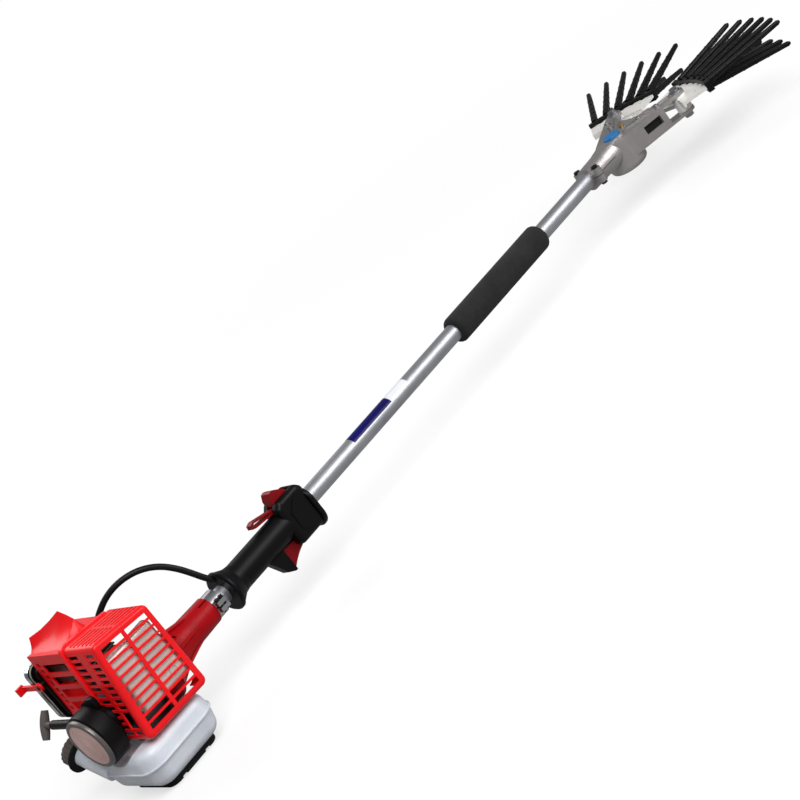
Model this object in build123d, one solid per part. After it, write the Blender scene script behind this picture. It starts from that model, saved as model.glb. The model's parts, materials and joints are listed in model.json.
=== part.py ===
from build123d import *
import math
import os

# Coffee harvester: petrol engine, straight tube, control handle and a head with two swinging finger hands.
# Millimetres. X runs forward along the tube, Y to the operator's left, Z up.
# Every shape is drawn about the tube axis and lifted to AXIS_HEIGHT when it is saved.

# Overall places along the tube
AXIS_HEIGHT = 110.0
CASE_REAR = 34.0
MOUTH_X = 176.0
HANDLE_REAR = 210.0
FOAM_START = 786.0
HEAD_X = 1181.0

# Fits
SLIP = 0.05
RUN = 0.06
GAP = 0.4

# Tube, shaft and grip
TUBE_R = 14.0
TUBE_WALL = 1.6
TUBE_SEAT_REAR = 52.0
TUBE_SEAT_FRONT = 50.0
SHAFT_R = 4.0
BUSH_COUNT = 4
BUSH_LENGTH = 24.0
FOAM_LENGTH = 245.0
FOAM_R = 22.5
FOAM_ROUND = 8.0

# Crankcase, crankshaft and flywheel
CRANKCASE_R = 42.0
CRANKCASE_REAR = -22.0
FLANGE_THICK = 6.0
FAN_CASE_R = 50.0
FAN_CASE_WALL = 3.0
CRANKSHAFT_R = 6.0
FLYWHEEL_R = 42.0
FLYWHEEL_DISC = 6.0
FLYWHEEL_BLADE = 12.0
BLADE_COUNT = 14

# Clutch
SHOE_R = 26.5
SHOE_WIDTH = 14.0
SHOE_HUB_R = 10.0
DRUM_GAP = 0.8
DRUM_WALL = 2.5
DRUM_WEB = 4.0
DRUM_HUB_R = 9.0
BEARING_R = 13.0
BEARING_WIDTH = 12.0
MOUTH_R = 21.5
FUNNEL_RIB_COUNT = 6
FUNNEL_RIB_WIDTH = 4.0
FUNNEL_RIB_HEIGHT = 2.4
COLLAR_LENGTH = 18.0
COLLAR_R = 20.0
COLLAR_SLIT = 3.0
COLLAR_EAR = 8.0
CLAMP_SCREW_R = 2.5
CLAMP_HEAD_R = 4.5

# Cylinder and muffler
CYLINDER_X = 5.0
CYLINDER_R = 20.0
CYLINDER_TOP = 88.0
FIN_COUNT = 7
FIN_THICK = 2.2
FIN_REACH = 34.0
FIN_DEPTH = 42.0
FIN_CORNER = 8.0
PLUG_R = 5.0
PLUG_LENGTH = 34.0
PLUG_LEAN = 60.0
PLUG_FORWARD = 16.0
MUFFLER_LENGTH = 86.0
MUFFLER_REACH = 24.0
MUFFLER_HEIGHT = 92.0
MUFFLER_THIN = 17.0
MUFFLER_BOTTOM = -8.0
MUFFLER_ROUND = 7.0

# Red covers
COVER_WALL = 2.4
COVER_RIGHT = -75.0
COVER_LEFT = 16.0
COVER_LEFT_LEAN = 24.0
COVER_TOP_REAR = (-21.0, 114.0)
COVER_TOP_FRONT = (76.0, 101.0)
COVER_LOW_FRONT = (75.0, -38.0)
COVER_LOW_REAR = (-42.0, -34.0)
COVER_CORNER = 9.0
COVER_EDGE = 6.0
COVER_LIP = 9.0
RIDGE_WIDTH = 8.0
RIDGE_HEIGHT = 3.0
SIDE_ROWS = 11
SIDE_SLOT = 0.72
SIDE_BAR = 5.0
SIDE_FRAME = 9.0
REAR_ROWS = 13
REAR_SLOT = 0.66
REAR_FRAME = 9.0
REAR_WIDE = 26.0
REAR_NARROW = 22.0
TOP_SLOTS = 6
TOP_SLOT = 5.0
TOP_PITCH = 11.0
LEFT_COVER_END = 110.0
LEFT_COVER_REAR = -22.0
COVER_SPARE = 40.0
LEFT_COVER_LEAN = 4.0
LEFT_COVER_BOTTOM = 6.0
LEFT_COVER_DROP = 4.0
BIG_SLOTS = 4
SMALL_SLOTS = 8
SMALL_SLOT = 8.0
LEFT_SLOT = 0.66
HOOD_X = 25.0
HOOD_Y = 65.0
HOOD_WIDTH = 88.0
HOOD_PEAK = 43.0
HOOD_WALL = 2.2
HOOD_ROOM = (18.0, 60.0, 20.0)
HOOD_SECTIONS = (
    (-0.5, -19.0, 14.0, 0.56, 21.0),
    (-0.26, -20.0, 13.0, 1.0, 23.0),
    (0.5, -10.0, 0.0, 0.42, 15.0),
)

# Carburettor and air cleaner
CARB_Z = 66.0
CARB_SIZE = 30.0
INSULATOR = 20.0
CARB_LENGTH = 52.0
CARB_BORE = 7.0
CLEANER_DEPTH = 14.0
CLEANER_COVER = 26.0
CLEANER_LOW = 0.0
CLEANER_WIDTH = 74.0
CLEANER_HEIGHT = 92.0
CLEANER_WALL = 2.5
CHOKE_LENGTH = 52.0
CHOKE_THICK = 4.0
CHOKE_PIN_R = 3.0
PRIMER_R = 10.0
PRIMER_TRAVEL = 4.0

# Recoil starter
STARTER_R = 42.0
STARTER_NECK_R = 26.0
STARTER_NECK = 24.0
STARTER_DRUM = 30.0
STARTER_WALL = 3.0
PLAQUE_R = 39.0
PLAQUE_THICK = 6.0
PULLEY_R = 31.0
PULLEY_WIDTH = 10.0
ROPE_R = 1.8
ROPE_GUIDE = 40.0
T_LENGTH = 40.0
T_THICK = 14.0
T_DEPTH = 13.0
T_STEM = 24.0
T_TURN = 40.0
T_END = 2.0

# Fuel tank, cap and foot
FOOT_HEIGHT = 10.0
FOOT_LENGTH = 96.0
FOOT_WIDTH = 104.0
TANK_TOP = -40.0
TANK_LENGTH = 134.0
TANK_X = -2.0
TANK_WIDTH = 142.0
TANK_ROUND = 30.0
TANK_EDGE = 18.0
TANK_SEAM = 2.0
TANK_WALL = 3.0
TANK_UPPER_TAPER = 7.0
TANK_LOWER_TAPER = 12.0
CAP_R = 22.0
CAP_DEPTH = 17.0
CAP_KNURLS = 18
CAP_X = -58.0
CAP_Y = 64.0
CAP_Z = -54.0
CAP_TILT = 30.0
NECK_R = 16.0
NECK_LENGTH = 50.0
NECK_ROOT = 24.0
SEAL_THICK = 3.0
SEAL_OUT = 4.0

# Control handle
GRIP_R = 22.0
FLANGE_R = 33.0
FLANGE_ROUND = 2.5
WAIST_OUT = 7.0
WAIST_LENGTH = 20.0
FLANGE_LENGTH = 12.0
GRIP_LENGTH = 121.0
HOUSING_LENGTH = 58.0
HOUSING_HALF = 22.0
HOUSING_TOP = 37.0
HOUSING_LOW = -36.0
LIP_LENGTH = 8.0
LIP_OUT = 6.0
LIP_TOP = 26.0
PANEL_OUT = 1.2
HOUSING_SHOULDER = 10.0
HOUSING_NOSE = 9.0
HANDLE_ROUND = 9.0
TRIGGER_HALF = 5.0
TRIGGER_PIVOT_Z = -31.0
TRIGGER_REACH = 53.0
TRIGGER_DROP = 25.0
TRIGGER_PIN_R = 2.5
FIN_WALL = 3.0
LOCKOUT_HALF = 6.0
LOCKOUT_LENGTH = 44.0
LOCKOUT_STRIP = 3.0
LOCKOUT_PIN_R = 2.0
SWITCH_LENGTH = 30.0
SWITCH_HALF = 11.0
SWITCH_HEIGHT = 15.0
SWITCH_TRAVEL = 6.0
CABLE_R = 4.6

# Head casing
GEAR_X = HEAD_X + 95.0
PIVOT_X = HEAD_X + 195.0
PIVOT_Y = 75.0
PIVOT_R = 6.0
BOSS_R = 14.0
DECK_TOP = 16.0
DECK_UNDER = 10.0
DECK_LOW_TOP = -18.0
DECK_LOW = -23.0
NECK_OUT_R = 20.0
SPLIT_GAP = 1.2
EAR_R = 8.0
EAR_HEIGHT = 13.0
CLAMP_BOLT_R = 3.0
GEAR_CASE_R = 33.0
GEAR_CASE_STEP = 1.0
GEAR_CASE_LOW = -40.0
GEAR_CASE_TOP = 19.0
CASE_WALL = 3.5
CAP_DISC_R = 15.0
CAP_DISC_THICK = 4.0
WINDOW_LENGTH = 30.0
WALL_STOP = 38.0
RIB_WIDTH = 3.0
RIB_HEIGHT = 2.5
RIB_SPREAD = 0.17
SCREW_BOSS_R = 6.5

# Head drive
PINION_TEETH = 10
CROWN_TEETH = 20
GEAR_MODULE = 2.0
TOOTH_OUT = 1.6
TOOTH_IN = 2.0
TOOTH_ROOT = 2.0
TOOTH_TIP = 1.1
PINION_FACE = 6.5
CRANK_E = 8.0
CRANK_PIN_R = 4.0
CRANK_SHAFT_R = 6.0
CRANK_DISC_R = 14.0
CRANK_DISC_TOP = -3.0
CRANK_DISC_LOW = -8.0
YOKE_TOP = -9.0
YOKE_LOW = -16.0
YOKE_PIN_R = 4.0
YOKE_BAR = 18.0
ARM_REACH = 60.0
ARM_TOP = -1.5
ARM_LOW = -8.0
ARM_WIDTH = 22.0
RATIO_ROOM = 2.0

# Hands and fingers
FAN_CENTRE = HEAD_X + 45.0
FAN_R = 205.0
FAN_ROOT = 160.0
FAN_FROM = 7.0
FAN_TO = 43.0
PLATE_LOW = 1.0
PLATE_TOP = 6.0
SCALLOP_R = 5.0
RAIL_DEPTH = 11.0
RAIL_LOW = -6.0
RAIL_TOP = 12.0
UPPER_FINGERS = 6
LOWER_FINGERS = 5
FINGER_STEP = 6.0
UPPER_FIRST = 10.0
LOWER_FIRST = 13.0
FINGER_LENGTH = 144.0
FINGER_WIDTH = 10.0
FINGER_HEIGHT = 12.0
FINGER_TIP = 8.0
UPPER_TILT = 5.0
LOWER_TILT = -9.0


# Small helpers


def rod(x0, x1, r, y=0.0, z=0.0):
    """Round bar along X."""
    return Pos((x0 + x1) / 2, y, z) * Rot(0, 90, 0) * Cylinder(r, x1 - x0)


def post(x, y, z0, z1, r):
    """Round bar along Z."""
    return Pos(x, y, (z0 + z1) / 2) * Cylinder(r, z1 - z0)


def pin(x, z, y0, y1, r):
    """Round bar along Y."""
    return Pos(x, (y0 + y1) / 2, z) * Rot(90, 0, 0) * Cylinder(r, y1 - y0)


def block(x0, x1, y0, y1, z0, z1):
    """Box between two corners."""
    return Pos((x0 + x1) / 2, (y0 + y1) / 2, (z0 + z1) / 2) * Box(x1 - x0, y1 - y0, z1 - z0)


def turned(*points):
    """Solid of revolution about the tube axis from (x, radius) points."""
    return revolve(make_face(Polyline(*points, close=True)), Axis.X)


def side_face(*points):
    """Flat outline in the X Z plane."""
    return make_face(Polyline(*points, close=True))


def side_prism(outline, y0, y1):
    """Outline drawn in X Z, given thickness from y0 to y1."""
    return Pos(0, y1, 0) * extrude(Plane.XZ * outline, y1 - y0)


def plan_prism(outline, z0, z1):
    """Outline drawn in X Y, given thickness from z0 to z1."""
    return Pos(0, 0, z0) * extrude(outline, z1 - z0)


def mirrored(shape):
    """The same shape on the other side of the tube's upright plane."""
    return mirror(shape, Plane.XZ)


def save(node, shape):
    """Lift a shape to its height over the floor and write it."""
    export_step(Pos(0, 0, AXIS_HEIGHT) * shape, "parts/" + node + ".step")


# Places worked out from the sizes above

FLYWHEEL_X = CASE_REAR + 3.0
SHOE_X = FLYWHEEL_X + FLYWHEEL_DISC + FLYWHEEL_BLADE + 2.0
DRUM_X = SHOE_X + SHOE_WIDTH + 2.0
BEARING_X = DRUM_X + DRUM_WEB + 1.5
TUBE_REAR = MOUTH_X - TUBE_SEAT_REAR
TUBE_FRONT = HEAD_X + TUBE_SEAT_FRONT
TUBE_BORE = TUBE_R - TUBE_WALL
CYLINDER_BASE = CRANKCASE_R + 2.0
STARTER_FACE = CRANKCASE_REAR - STARTER_NECK - STARTER_DRUM
PULLEY_X = STARTER_FACE + STARTER_WALL + 1.0
ROPE_X = PULLEY_X + PULLEY_WIDTH / 2
ROPE_Z = PULLEY_R - 2 * ROPE_R
SADDLE_R = FAN_CASE_R + 3.0
TANK_LOW = FOOT_HEIGHT - AXIS_HEIGHT


# Engine core


def crankcase():
    body = rod(CRANKCASE_REAR, CASE_REAR - FLANGE_THICK, CRANKCASE_R)
    body += rod(CASE_REAR - FLANGE_THICK, CASE_REAR, FAN_CASE_R)
    deck = block(CYLINDER_X - CYLINDER_R - 4, CYLINDER_X + CYLINDER_R + 4, -24, 24, 0, CYLINDER_BASE)
    leg = block(CRANKCASE_REAR + 4, CASE_REAR - FLANGE_THICK, -14, 14, -SADDLE_R, 0)
    leg &= rod(CRANKCASE_REAR, CASE_REAR, SADDLE_R - SLIP)
    body += deck + leg
    return body - rod(CRANKCASE_REAR - 1, CASE_REAR + 1, CRANKSHAFT_R + RUN)


def crankshaft():
    shaft = rod(CRANKCASE_REAR - 8, SHOE_X + SHOE_WIDTH + 1, CRANKSHAFT_R)
    ratchet = rod(CRANKCASE_REAR - 8, CRANKCASE_REAR - 1, 14.0)
    carrier = rod(SHOE_X, SHOE_X + SHOE_WIDTH, SHOE_HUB_R)
    return shaft + ratchet + carrier


def flywheel():
    disc = rod(FLYWHEEL_X, FLYWHEEL_X + FLYWHEEL_DISC, FLYWHEEL_R)
    disc += rod(FLYWHEEL_X, SHOE_X - 0.5, 13.0)
    face = FLYWHEEL_X + FLYWHEEL_DISC
    blade = block(face - 0.5, face + FLYWHEEL_BLADE, -1.3, 1.3, 22, FLYWHEEL_R - 0.5)
    for turn in range(BLADE_COUNT):
        disc += Rot(turn * 360 / BLADE_COUNT, 0, 0) * blade
    return disc - rod(FLYWHEEL_X - 1, SHOE_X, CRANKSHAFT_R + SLIP)


def clutch_shoes():
    ring = rod(SHOE_X, SHOE_X + SHOE_WIDTH, SHOE_R)
    ring -= rod(SHOE_X - 1, SHOE_X + SHOE_WIDTH + 1, SHOE_HUB_R + SLIP)
    return ring - block(SHOE_X - 1, SHOE_X + SHOE_WIDTH + 1, -4, 4, -SHOE_R - 1, SHOE_R + 1)


def plug_line(r, start, length):
    """Bar along the leaning spark plug axis."""
    place = Pos(CYLINDER_X + PLUG_FORWARD, 12, CYLINDER_TOP) * Rot(-PLUG_LEAN, 0, 0)
    return place * Pos(0, 0, start + length / 2) * Cylinder(r, length)


def cylinder():
    body = post(CYLINDER_X, 0, CYLINDER_BASE, CYLINDER_TOP, CYLINDER_R)
    body += block(CYLINDER_X - 22, CYLINDER_X + 22, -24, 24, CYLINDER_BASE, CYLINDER_BASE + 4)
    half = FIN_DEPTH / 2
    outline = make_face(
        Polyline(
            (CYLINDER_X - half, -FIN_REACH),
            (CYLINDER_X + half, -FIN_REACH),
            (CYLINDER_X + half, FIN_REACH),
            (CYLINDER_X - half + FIN_CORNER, FIN_REACH),
            (CYLINDER_X - half, FIN_REACH - FIN_CORNER),
            close=True,
        )
    )
    first = CYLINDER_BASE + 10
    pitch = (CYLINDER_TOP - FIN_THICK - first) / (FIN_COUNT - 1)
    for row in range(FIN_COUNT):
        low = first + row * pitch
        body += plan_prism(outline, low, low + FIN_THICK)
    port_low = CARB_Z - CARB_SIZE / 2
    port_top = CARB_Z + CARB_SIZE / 2
    body += block(CYLINDER_X - 16, CYLINDER_X + 16, -FIN_REACH - 4, FIN_REACH + 4, port_low + 3, port_top - 3)
    body -= plug_line(PLUG_R + 3, 3.5, PLUG_LENGTH)
    return body - plug_line(PLUG_R + SLIP, -8, PLUG_LENGTH)


def spark_plug():
    body = plug_line(PLUG_R, -8, PLUG_LENGTH + 8)
    body += plug_line(PLUG_R + 2.5, 3.5, 6)
    return body + plug_line(PLUG_R - 1.5, PLUG_LENGTH - 1, 7)


def muffler():
    inner = COVER_RIGHT + COVER_WALL + 1.5
    rear = CYLINDER_X - MUFFLER_REACH
    can = block(rear, rear + MUFFLER_LENGTH, inner, inner + MUFFLER_THIN, MUFFLER_BOTTOM,
                MUFFLER_BOTTOM + MUFFLER_HEIGHT)
    can = fillet(can.edges(), MUFFLER_ROUND)
    seam_y = inner + MUFFLER_THIN / 2
    seam = block(rear - 1.5, rear + MUFFLER_LENGTH + 1.5, seam_y - 1, seam_y + 1,
                 MUFFLER_BOTTOM + MUFFLER_ROUND, MUFFLER_BOTTOM + MUFFLER_HEIGHT - MUFFLER_ROUND)
    neck = block(CYLINDER_X - 14, CYLINDER_X + 14, inner + MUFFLER_THIN - 1, -FIN_REACH - 4,
                 CARB_Z - CARB_SIZE / 2 + 4, CARB_Z + CARB_SIZE / 2 - 4)
    outlet = pin(rear + MUFFLER_LENGTH - 18, MUFFLER_BOTTOM + 16, inner - 1.2, inner + 4, 7)
    outlet -= pin(rear + MUFFLER_LENGTH - 18, MUFFLER_BOTTOM + 16, inner - 2, inner + 3, 5)
    return can + seam + neck + outlet


# Red covers


def between(a, b, t):
    """Point at share t of the way from a to b."""
    return (a[0] + (b[0] - a[0]) * t, a[1] + (b[1] - a[1]) * t)


def cover_point(s, t):
    """Point on the muffler cover's side: s from rear to front, t from top to bottom."""
    rear = between(COVER_TOP_REAR, COVER_LOW_REAR, t)
    front = between(COVER_TOP_FRONT, COVER_LOW_FRONT, t)
    return between(rear, front, s)


def cover_outline(grow=0.0):
    """Side outline of the muffler cover with its round corners."""
    face = side_face(COVER_TOP_REAR, COVER_TOP_FRONT, COVER_LOW_FRONT, COVER_LOW_REAR)
    face = fillet(face.vertices(), COVER_CORNER)
    if grow == 0:
        return face
    return offset(face, grow)


def left_edge_slab(from_edge, to_edge):
    """Slab that follows the leaning left edge of the cover, measured leftwards from that edge."""
    top = COVER_TOP_REAR[1] + 20
    low = COVER_LOW_FRONT[1] - 20
    height = COVER_TOP_REAR[1] - COVER_LOW_REAR[1]
    y_top = COVER_LEFT + COVER_LEFT_LEAN * (top - COVER_TOP_REAR[1]) / height
    y_low = COVER_LEFT + COVER_LEFT_LEAN * (low - COVER_TOP_REAR[1]) / height
    corners = ((y_top + from_edge, top), (y_top + to_edge, top), (y_low + to_edge, low),
               (y_low + from_edge, low))
    outline = Plane.YZ * make_face(Polyline(*corners, close=True))
    return Pos(COVER_LOW_REAR[0] - 30, 0, 0) * extrude(outline, COVER_LOW_FRONT[0] - COVER_LOW_REAR[0] + 60)


def side_grille():
    """Two columns of long slots in the cover's right face."""
    length = COVER_TOP_FRONT[0] - COVER_TOP_REAR[0]
    height = COVER_TOP_REAR[1] - COVER_LOW_REAR[1]
    s_frame = SIDE_FRAME / length
    t_frame = SIDE_FRAME / height
    s_bar = SIDE_BAR / length / 2
    pitch = (1 - 2 * t_frame) / SIDE_ROWS
    cuts = []
    for row in range(SIDE_ROWS):
        t0 = t_frame + (row + (1 - SIDE_SLOT) / 2) * pitch
        t1 = t0 + SIDE_SLOT * pitch
        for s0, s1 in ((s_frame, 0.5 - s_bar), (0.5 + s_bar, 1 - s_frame)):
            slot = side_face(*(cover_point(s, t) for s, t in ((s0, t0), (s1, t0), (s1, t1), (s0, t1))))
            cuts.append(side_prism(slot, COVER_RIGHT - 1, COVER_RIGHT + COVER_WALL + 2))
    return cuts


def rear_grille():
    """Two columns of short slots in the cover's rear face that lean with its left edge."""
    height = COVER_TOP_REAR[1] - COVER_LOW_REAR[1]
    t_frame = REAR_FRAME / height
    pitch = (1 - 2 * t_frame) / REAR_ROWS
    window_row = REAR_ROWS - 4
    cuts = []
    for row in range(REAR_ROWS):
        t0 = t_frame + (row + (1 - REAR_SLOT) / 2) * pitch
        t1 = t0 + REAR_SLOT * pitch
        x0, z0 = between(COVER_TOP_REAR, COVER_LOW_REAR, t0)
        x1, z1 = between(COVER_TOP_REAR, COVER_LOW_REAR, t1)
        edge = COVER_LEFT - COVER_LEFT_LEAN * (t0 + t1) / 2
        wide = edge - RIDGE_WIDTH - 3
        cuts.append(block(min(x0, x1) - 6, max(x0, x1) + 6, wide - REAR_WIDE, wide, z1, z0))
        right = COVER_RIGHT + REAR_FRAME
        narrow = min(right + REAR_NARROW, wide - REAR_WIDE - 3)
        if window_row <= row < window_row + 3:
            z1 -= (1 - REAR_SLOT) * pitch * height * (row < window_row + 2)
        if narrow - right > COVER_WALL:
            cuts.append(block(min(x0, x1) - 6, max(x0, x1) + 6, right, narrow, z1, z0))
    return cuts


def top_grille():
    """Two groups of narrow slots in the cover's top face."""
    right = COVER_RIGHT + SIDE_FRAME
    cuts = []
    for column in range(TOP_SLOTS):
        y = right + column * TOP_PITCH
        for s0, s1 in ((0.05, 0.46), (0.52, 0.93)):
            x0, z0 = cover_point(s0, 0)
            x1, z1 = cover_point(s1, 0)
            cuts.append(block(x0, x1, y, y + TOP_SLOT, z1 - COVER_WALL - 3, z0 + 2))
    return cuts


def muffler_cover():
    outline = cover_outline()
    body = side_prism(outline, COVER_RIGHT, COVER_LEFT + 8)
    body = fillet(body.faces().sort_by(Axis.Y)[0].edges(), COVER_EDGE)
    body -= side_prism(cover_outline(-COVER_WALL), COVER_RIGHT + COVER_WALL, COVER_LEFT + 9)
    band = side_prism(cover_outline(RIDGE_HEIGHT), COVER_LEFT - COVER_LEFT_LEAN - 12, COVER_LEFT + 8)
    band -= side_prism(cover_outline(-COVER_WALL), COVER_LEFT - COVER_LEFT_LEAN - 13, COVER_LEFT + 9)
    band &= left_edge_slab(-RIDGE_WIDTH, 0)
    band &= block(COVER_LOW_REAR[0] - 10, COVER_TOP_FRONT[0] - 14, -90, 40, COVER_LOW_REAR[1] + 2,
                  COVER_TOP_REAR[1] + 10)
    body -= left_edge_slab(0, 200)
    body -= block(COVER_TOP_FRONT[0] - 10, COVER_LOW_FRONT[0] + 9, COVER_RIGHT + COVER_LIP, COVER_LEFT + 40,
                  COVER_LOW_FRONT[1] + COVER_LIP, COVER_TOP_FRONT[1] - COVER_LIP)
    body -= block(COVER_LOW_REAR[0] + COVER_LIP, COVER_LOW_FRONT[0] - COVER_LIP, COVER_RIGHT + 2 * COVER_LIP,
                  COVER_LEFT + 40, COVER_LOW_FRONT[1] - 10, COVER_LOW_REAR[1] + 6)
    body += band
    body -= rod(STARTER_FACE, CRANKCASE_REAR, STARTER_NECK_R + 2)
    body -= rod(CASE_REAR - FLANGE_THICK - 2, COVER_LOW_FRONT[0] + 12, FAN_CASE_R + 2)
    return body - Compound(side_grille() + rear_grille() + top_grille())


def left_cover_outline(grow=0.0):
    """Side outline of the cylinder cover: leaning rear wall and sloping top."""
    top = COVER_TOP_REAR[1] - LEFT_COVER_DROP
    front = COVER_TOP_FRONT[1] - LEFT_COVER_DROP
    low_x = LEFT_COVER_REAR - LEFT_COVER_LEAN
    face = side_face(
        (LEFT_COVER_REAR, top),
        (COVER_TOP_FRONT[0] - 10, front),
        (COVER_TOP_FRONT[0] - 10, front - 24),
        (CASE_REAR, LEFT_COVER_BOTTOM + 46),
        (CASE_REAR, LEFT_COVER_BOTTOM),
        (low_x, LEFT_COVER_BOTTOM),
    )
    if grow == 0:
        return face
    return offset(face, grow, kind=Kind.INTERSECTION)


def cylinder_cover():
    first = COVER_LEFT + SLIP
    body = side_prism(left_cover_outline(), first - COVER_SPARE, LEFT_COVER_END)
    body -= side_prism(left_cover_outline(-COVER_WALL), first - COVER_SPARE - 1, LEFT_COVER_END - COVER_WALL)
    body -= left_edge_slab(-2 * LEFT_COVER_END, SLIP)
    body -= block(0, COVER_LOW_FRONT[0] + 9, -90, LEFT_COVER_END - COVER_WALL, LEFT_COVER_BOTTOM - 9,
                  COVER_TOP_FRONT[1] - LEFT_COVER_DROP - COVER_LIP)
    body -= block(LEFT_COVER_REAR + 4, CASE_REAR + 9, -90, LEFT_COVER_END - COVER_WALL, LEFT_COVER_BOTTOM - 9,
                  LEFT_COVER_BOTTOM + 8)
    body -= rod(STARTER_FACE, CRANKCASE_REAR + 20, STARTER_R + 2)
    body -= rod(CASE_REAR - FLANGE_THICK - 2, CASE_REAR + 40, FAN_CASE_R + 2)
    top = COVER_TOP_REAR[1] - LEFT_COVER_DROP
    pitch = (top - LEFT_COVER_BOTTOM - 2 * REAR_FRAME) / BIG_SLOTS
    fine = (top - LEFT_COVER_BOTTOM - 2 * REAR_FRAME) / SMALL_SLOTS
    edge = LEFT_COVER_END - REAR_FRAME
    cuts = []
    for row in range(BIG_SLOTS):
        z = LEFT_COVER_BOTTOM + REAR_FRAME + row * pitch
        cuts.append(block(LEFT_COVER_REAR - 12, LEFT_COVER_REAR + 5, COVER_LEFT + 6, edge - SMALL_SLOT - 6, z,
                          z + LEFT_SLOT * pitch))
    for row in range(SMALL_SLOTS):
        z = LEFT_COVER_BOTTOM + REAR_FRAME + row * fine
        cuts.append(block(LEFT_COVER_REAR - 12, LEFT_COVER_REAR + 5, edge - SMALL_SLOT, edge, z,
                          z + LEFT_SLOT * fine))
    body -= Compound(cuts)
    body -= carburettor_hole()
    body -= plug_line(PLUG_R + 4, 0, PLUG_LENGTH)
    return body - hood_space()


def hood_place():
    """Frame on the sloping top of the cylinder cover where the plug hood sits."""
    top = COVER_TOP_REAR[1] - LEFT_COVER_DROP
    run = COVER_TOP_FRONT[0] - 10 - LEFT_COVER_REAR
    fall = COVER_TOP_REAR[1] - COVER_TOP_FRONT[1]
    height = top - fall * (HOOD_X - LEFT_COVER_REAR) / run
    return Pos(HOOD_X, HOOD_Y, height) * Rot(0, math.degrees(math.atan2(fall, run)), 0)


def hood_form(shrink=0.0):
    """Visor over the plug: its crest falls to both ends and its rear face is hollowed."""
    faces = []
    for across, rear, crest, rise, front in HOOD_SECTIONS:
        y = across * (HOOD_WIDTH - 2 * shrink)
        top = rise * HOOD_PEAK - 1.6 * shrink
        foot = rear + 1.5 * shrink
        low = -shrink / 100
        section = side_face((foot, low), (foot + 0.55 * (crest - foot), 0.38 * top), (crest - 2, top),
                            (crest + 1, top), (front - 1.5 * shrink, low))
        faces.append(Pos(0, y, 0) * (Plane.XZ * section))
    return loft(faces, ruled=True)


def hood_space():
    return hood_place() * Box(*HOOD_ROOM)


def plug_hood():
    return hood_place() * (hood_form() - hood_form(HOOD_WALL))


# Carburettor and air cleaner


CARB_FROM = FIN_REACH + 4
CARB_TO = CARB_FROM + INSULATOR + CARB_LENGTH
CARB_MID = CARB_FROM + INSULATOR + CARB_LENGTH / 2


def carburettor_hole():
    half = CARB_SIZE / 2 + 2
    return block(CYLINDER_X - half, CYLINDER_X + half, CARB_MID, LEFT_COVER_END + 5, CARB_Z - half,
                 CARB_Z + half)


def carburettor():
    half = CARB_SIZE / 2
    body = block(CYLINDER_X - half, CYLINDER_X + half, CARB_FROM + INSULATOR, CARB_TO, CARB_Z - half,
                 CARB_Z + half)
    body = fillet(body.edges().filter_by(Axis.Y), 4)
    body += block(CYLINDER_X - half + 2, CYLINDER_X + half - 2, CARB_FROM, CARB_FROM + INSULATOR,
                  CARB_Z - half + 1, CARB_Z + half - 1)
    body += rod(CYLINDER_X + half - 1, CYLINDER_X + half + 12, 6.0, CARB_MID, CARB_Z)
    body += post(CYLINDER_X, CARB_MID, CARB_Z - half - 2, CARB_Z - half + 1, PRIMER_R + 3)
    body -= post(CYLINDER_X, CARB_MID, CARB_Z - half - 3, CARB_Z - half + PRIMER_TRAVEL + 2, PRIMER_R + GAP)
    return body - pin(CYLINDER_X, CARB_Z, CARB_FROM - 1, CARB_TO + 1, CARB_BORE)


def primer_bulb():
    seat = CARB_Z - CARB_SIZE / 2 - 2
    body = post(CYLINDER_X, CARB_MID, seat - 5, seat + 2, PRIMER_R)
    return fillet(body.faces().sort_by(Axis.Z)[0].edges(), 4.5)


def cleaner_box(y0, y1, shrink):
    """Rounded box of the air cleaner."""
    place = Pos(CYLINDER_X, y0, CLEANER_LOW + CLEANER_HEIGHT / 2) * Rot(-90, 0, 0)
    outline = RectangleRounded(CLEANER_WIDTH - 2 * shrink, CLEANER_HEIGHT - 2 * shrink, 14 - shrink)
    return place * extrude(outline, y1 - y0)


def air_cleaner_case():
    start = CARB_TO + SLIP
    body = cleaner_box(start, start + CLEANER_DEPTH, 4)
    body += cleaner_box(start + CLEANER_DEPTH - 4, start + CLEANER_DEPTH, 0)
    body -= cleaner_box(start + CLEANER_WALL, start + CLEANER_DEPTH + 1, 4 + CLEANER_WALL)
    rear = CYLINDER_X - CLEANER_WIDTH / 2
    body += rod(rear, rear + 6, CHOKE_PIN_R + 3, start + CLEANER_DEPTH / 2 - 2, CARB_Z)
    body += rod(rear - GAP - CHOKE_THICK - 1, rear + 2, CHOKE_PIN_R, start + CLEANER_DEPTH / 2 - 2, CARB_Z)
    return body - pin(CYLINDER_X, CARB_Z, start - 1, start + 5, CARB_BORE)


def air_cleaner_cover():
    start = CARB_TO + SLIP + CLEANER_DEPTH
    body = cleaner_box(start, start + CLEANER_COVER, 1.5)
    body = fillet(body.faces().sort_by(Axis.Y)[-1].edges(), 9)
    body += post(CYLINDER_X, start + CLEANER_COVER / 2, CLEANER_LOW - 3, CLEANER_LOW + 6, 6)
    return body - cleaner_box(start - 1, start + CLEANER_COVER - CLEANER_WALL, 1.5 + 2 * CLEANER_WALL)


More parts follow.
